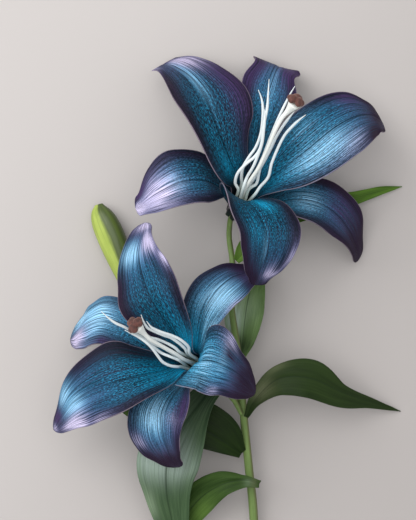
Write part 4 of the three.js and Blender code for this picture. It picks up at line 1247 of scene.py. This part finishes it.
def velvet(name):
    """Red-brown velvet, darker in its folds, with a grainy nap."""
    material, tree, shader = new_material(name)
    place = add_node(tree, "ShaderNodeTexCoord").outputs["Object"]
    grain = noise(tree, place, VELVET_GRAIN)
    folds = noise(tree, place, VELVET_FOLDS, 2.0)
    colour = blend(tree, rise(tree, folds, 0.35, 0.65), VELVET_DARK, VELVET_BROWN)
    colour = blend(tree, calc(tree, "MULTIPLY", grain, 0.5), colour, VELVET_NAP)
    tree.links.new(colour, shader.inputs["Base Color"])
    roughness = calc(tree, "ADD", 0.6, calc(tree, "MULTIPLY", grain, 0.3))
    tree.links.new(roughness, shader.inputs["Roughness"])
    shader.inputs["Sheen Weight"].default_value = 0.3
    shader.inputs["Sheen Tint"].default_value = (1.0, 0.7, 0.6, 1)
    raise_surface(tree, shader, grain, 0.7, 0.0003)
    return material


def stigma(name, centre, facing):
    """Three lobes that meet in the middle, each of three soft lumps, fused into one skin."""
    turn = facing.to_track_quat("Z", "Y").to_matrix()
    lumps = []
    for lobe in range(3):
        angle = 2 * math.pi * lobe / 3 + STIGMA_TURN
        for reach, spread, size in STIGMA_LUMPS:
            out = Vector((math.cos(angle + spread), math.sin(angle + spread), 0)) * STIGMA_GIRTH * reach
            bpy.ops.object.select_all(action="DESELECT")
            bpy.ops.mesh.primitive_uv_sphere_add(
                segments=24, ring_count=14, radius=STIGMA_LOBE_GIRTH * size,
                location=centre + turn @ (out - Vector((0, 0, reach * STIGMA_DROP))),
            )
            lumps.append(bpy.context.active_object)
    for lump in lumps:
        lump.select_set(True)
    bpy.ops.object.join()
    bpy.ops.object.transform_apply(location=True, rotation=True, scale=True)
    knob = bpy.context.active_object
    knob.name = name
    fuse = knob.modifiers.new("fuse", "REMESH")
    fuse.mode = "VOXEL"
    fuse.voxel_size = STIGMA_SKIN_CELL
    bpy.ops.object.modifier_apply(modifier="fuse")
    smooth = knob.modifiers.new("smooth", "SMOOTH")
    smooth.factor = 0.5
    smooth.iterations = 4
    bpy.ops.object.modifier_apply(modifier="smooth")
    bpy.ops.object.shade_smooth()
    return knob


style_cream = plant_white("style_cream", STYLE_CREAM, STYLE_GREY, OVARY_GREEN)
stigma_velvet = velvet("stigma_velvet")
for bloom, pistil in PISTILS.items():
    foot = tuple(tuple(bloom_point(bloom, 0, *row)) for row in OVARY_FOOT)
    style = stalk(
        "style_" + bloom, foot + pistil["path"], tapered(PISTIL_GIRTHS), cells_round=18, cells_along=90
    )
    finish_piece(style, style_cream, "pistil", "pistil_" + bloom)
    centre = Vector(pistil["stigma"])
    knob = stigma("knob_" + bloom, centre, (centre - Vector(pistil["path"][-1])).normalized())
    finish_piece(knob, stigma_velvet, "stigma", "stigma_" + bloom)

# ---- The bud ----
# A closed bloom: six tepals folded into one tapering, three-sided body with a ridge down each face.
# Its skin is yellow-green; the right faces, turned from the light, and the grooves are painted dark olive
# as painted shade.

BUD_GIRTHS = (0.0026, 0.0046, 0.0066, 0.0084, 0.0093, 0.0086, 0.0060, 0.0026)
BUD_RIDGES = 3
BUD_RIDGE_DEPTH = 0.07
BUD_GREEN = (0.19, 0.27, 0.020)
BUD_YELLOW = (0.46, 0.56, 0.12)
BUD_SHADE_OLIVE = (0.028, 0.052, 0.003)
BUD_GROOVE_SHADE = (0.08, 0.12, 0.02)
BUD_VEIN = (0.10, 0.14, 0.02)
BUD_VEINS = (2.0, 30.0)
BUD_CLOUDS = (4.0, 3.0)
BUD_PATH = (
    (-0.06, 0.0375, 0.013),
    (-0.064, 0.047, 0.012),
    (-0.071, 0.0655, 0.0105),
    (-0.079, 0.0855, 0.0095),
    (-0.085, 0.0985, 0.009),
    (-0.087, 0.105, 0.009),
)


def bud_material(name):
    """Yellow-green skin with veins along it, with painted shade in olive on two faces and in the grooves.
    """
    material, tree, shader = new_material(name)
    along, across = place_on_piece(tree)
    veins = noise(tree, stretched(tree, along, across, *BUD_VEINS, 8.0), 1.0)
    clouds = noise(tree, stretched(tree, along, across, *BUD_CLOUDS, 9.0), 1.0)
    colour = blend(tree, clouds, BUD_GREEN, BUD_YELLOW)
    # The right faces, turned from the light, are painted dark olive: painted shade.
    ridge = calc(tree, "ADD", across, calc(tree, "MULTIPLY", clouds, 0.10))
    shade = calc(tree, "MULTIPLY", rise(tree, ridge, 0.68, 0.56), rise(tree, across, -0.8, -0.6))
    colour = blend(tree, calc(tree, "MULTIPLY", shade, 0.95), colour, BUD_SHADE_OLIVE)
    # The grooves between the faces are painted darker: painted shade.
    turn = calc(tree, "MULTIPLY", across, BUD_RIDGES * math.pi)
    groove_shade = rise(tree, calc(tree, "COSINE", turn), -0.86, -0.99)
    colour = blend(tree, calc(tree, "MULTIPLY", groove_shade, 0.6), colour, BUD_GROOVE_SHADE)
    colour = blend(tree, calc(tree, "MULTIPLY", rise(tree, veins, 0.5, 0.7), 0.4), colour, BUD_VEIN)
    tree.links.new(colour, shader.inputs["Base Color"])
    roughness = calc(tree, "ADD", 0.38, calc(tree, "MULTIPLY", veins, 0.2))
    tree.links.new(roughness, shader.inputs["Roughness"])
    shader.inputs["Coat Weight"].default_value = 0.1
    raise_surface(tree, shader, veins, 0.4, 0.0004)
    return material


bud = stalk(
    "closed_bud", BUD_PATH, tapered(BUD_GIRTHS), cells_round=72, cells_along=90,
    ribs=BUD_RIDGES, rib_depth=BUD_RIDGE_DEPTH,
)
finish_piece(bud, bud_material("bud_green"), "bud", "bud")

# ---- The floor, the lights and the camera ----
# A pale sheet, painted lighter at the upper left and darker towards the lower right as a painted
# falloff of light, a large soft light from the left, a weaker one from above, and a camera that
# looks straight down, with its top towards the upper bloom.

FLOOR_SIDE = 6.0
FLOOR_LIGHT = (0.475, 0.450, 0.436)
FLOOR_SHADE = (0.370, 0.346, 0.334)
FLOOR_SLANT = 0.6
FLOOR_FADE = 0.30
LAMP_WHITE = (1.0, 0.99, 0.98)
SKY_WHITE = (0.98, 0.98, 1.0, 1)
SKY_STRENGTH = 0.70
CAMERA_HEIGHT = 1.448
CAMERA_OVER = (-0.0145, 0.068)
CAMERA_LENS = 150.0
CAMERA_SENSOR = 36.0

bpy.ops.object.select_all(action="DESELECT")
bpy.ops.mesh.primitive_plane_add(size=FLOOR_SIDE, location=(0, 0, cad_box[0][2]))
floor = bpy.context.active_object
floor.name = "floor"
floor_paint, tree, shader = new_material("floor_paint")
place = add_node(tree, "ShaderNodeTexCoord").outputs["Object"]
# The floor's colour goes from lighter at the upper left to darker at the lower right: a painted falloff of
# light.
corner = add_node(tree, "ShaderNodeSeparateXYZ", {"Vector": place})
slant = calc(tree, "MULTIPLY", corner.outputs["Y"], FLOOR_SLANT)
slope = calc(tree, "SUBTRACT", corner.outputs["X"], slant)
cloud = calc(tree, "MULTIPLY", noise(tree, place, 9.0), 0.06)
shade = rise(tree, calc(tree, "ADD", slope, cloud), -FLOOR_FADE, FLOOR_FADE)
tree.links.new(blend(tree, shade, FLOOR_LIGHT, FLOOR_SHADE), shader.inputs["Base Color"])
shader.inputs["Roughness"].default_value = 0.9
floor.data.materials.append(floor_paint)


def soft_light(name, place, aim, size, power):
    """A square soft light at a place, aimed at a point."""
    bpy.ops.object.light_add(type="AREA", location=place)
    lamp = bpy.context.active_object
    lamp.name = name
    lamp.data.size = size
    lamp.data.energy = power
    lamp.data.color = LAMP_WHITE
    lamp.rotation_euler = (Vector(aim) - Vector(place)).to_track_quat("-Z", "Y").to_euler()


soft_light("key_light", place=(-1.2, 0.8, 1.4), aim=(0, 0, 0.05), size=1.5, power=24.0)
soft_light("top_light", place=(-0.3, 0.4, 2.4), aim=(0, 0, 0), size=2.2, power=30.0)

world = bpy.data.worlds.new("studio")
bpy.context.scene.world = world
world.use_nodes = True
background = world.node_tree.nodes["Background"]
background.inputs["Color"].default_value = SKY_WHITE
background.inputs["Strength"].default_value = SKY_STRENGTH

bpy.ops.object.camera_add(location=(*CAMERA_OVER, CAMERA_HEIGHT), rotation=(0, 0, 0))
camera = bpy.context.active_object
camera.data.lens = CAMERA_LENS
camera.data.sensor_width = CAMERA_SENSOR
camera.data.sensor_fit = "AUTO"
bpy.context.scene.camera = camera
bpy.context.scene.view_settings.view_transform = "Standard"
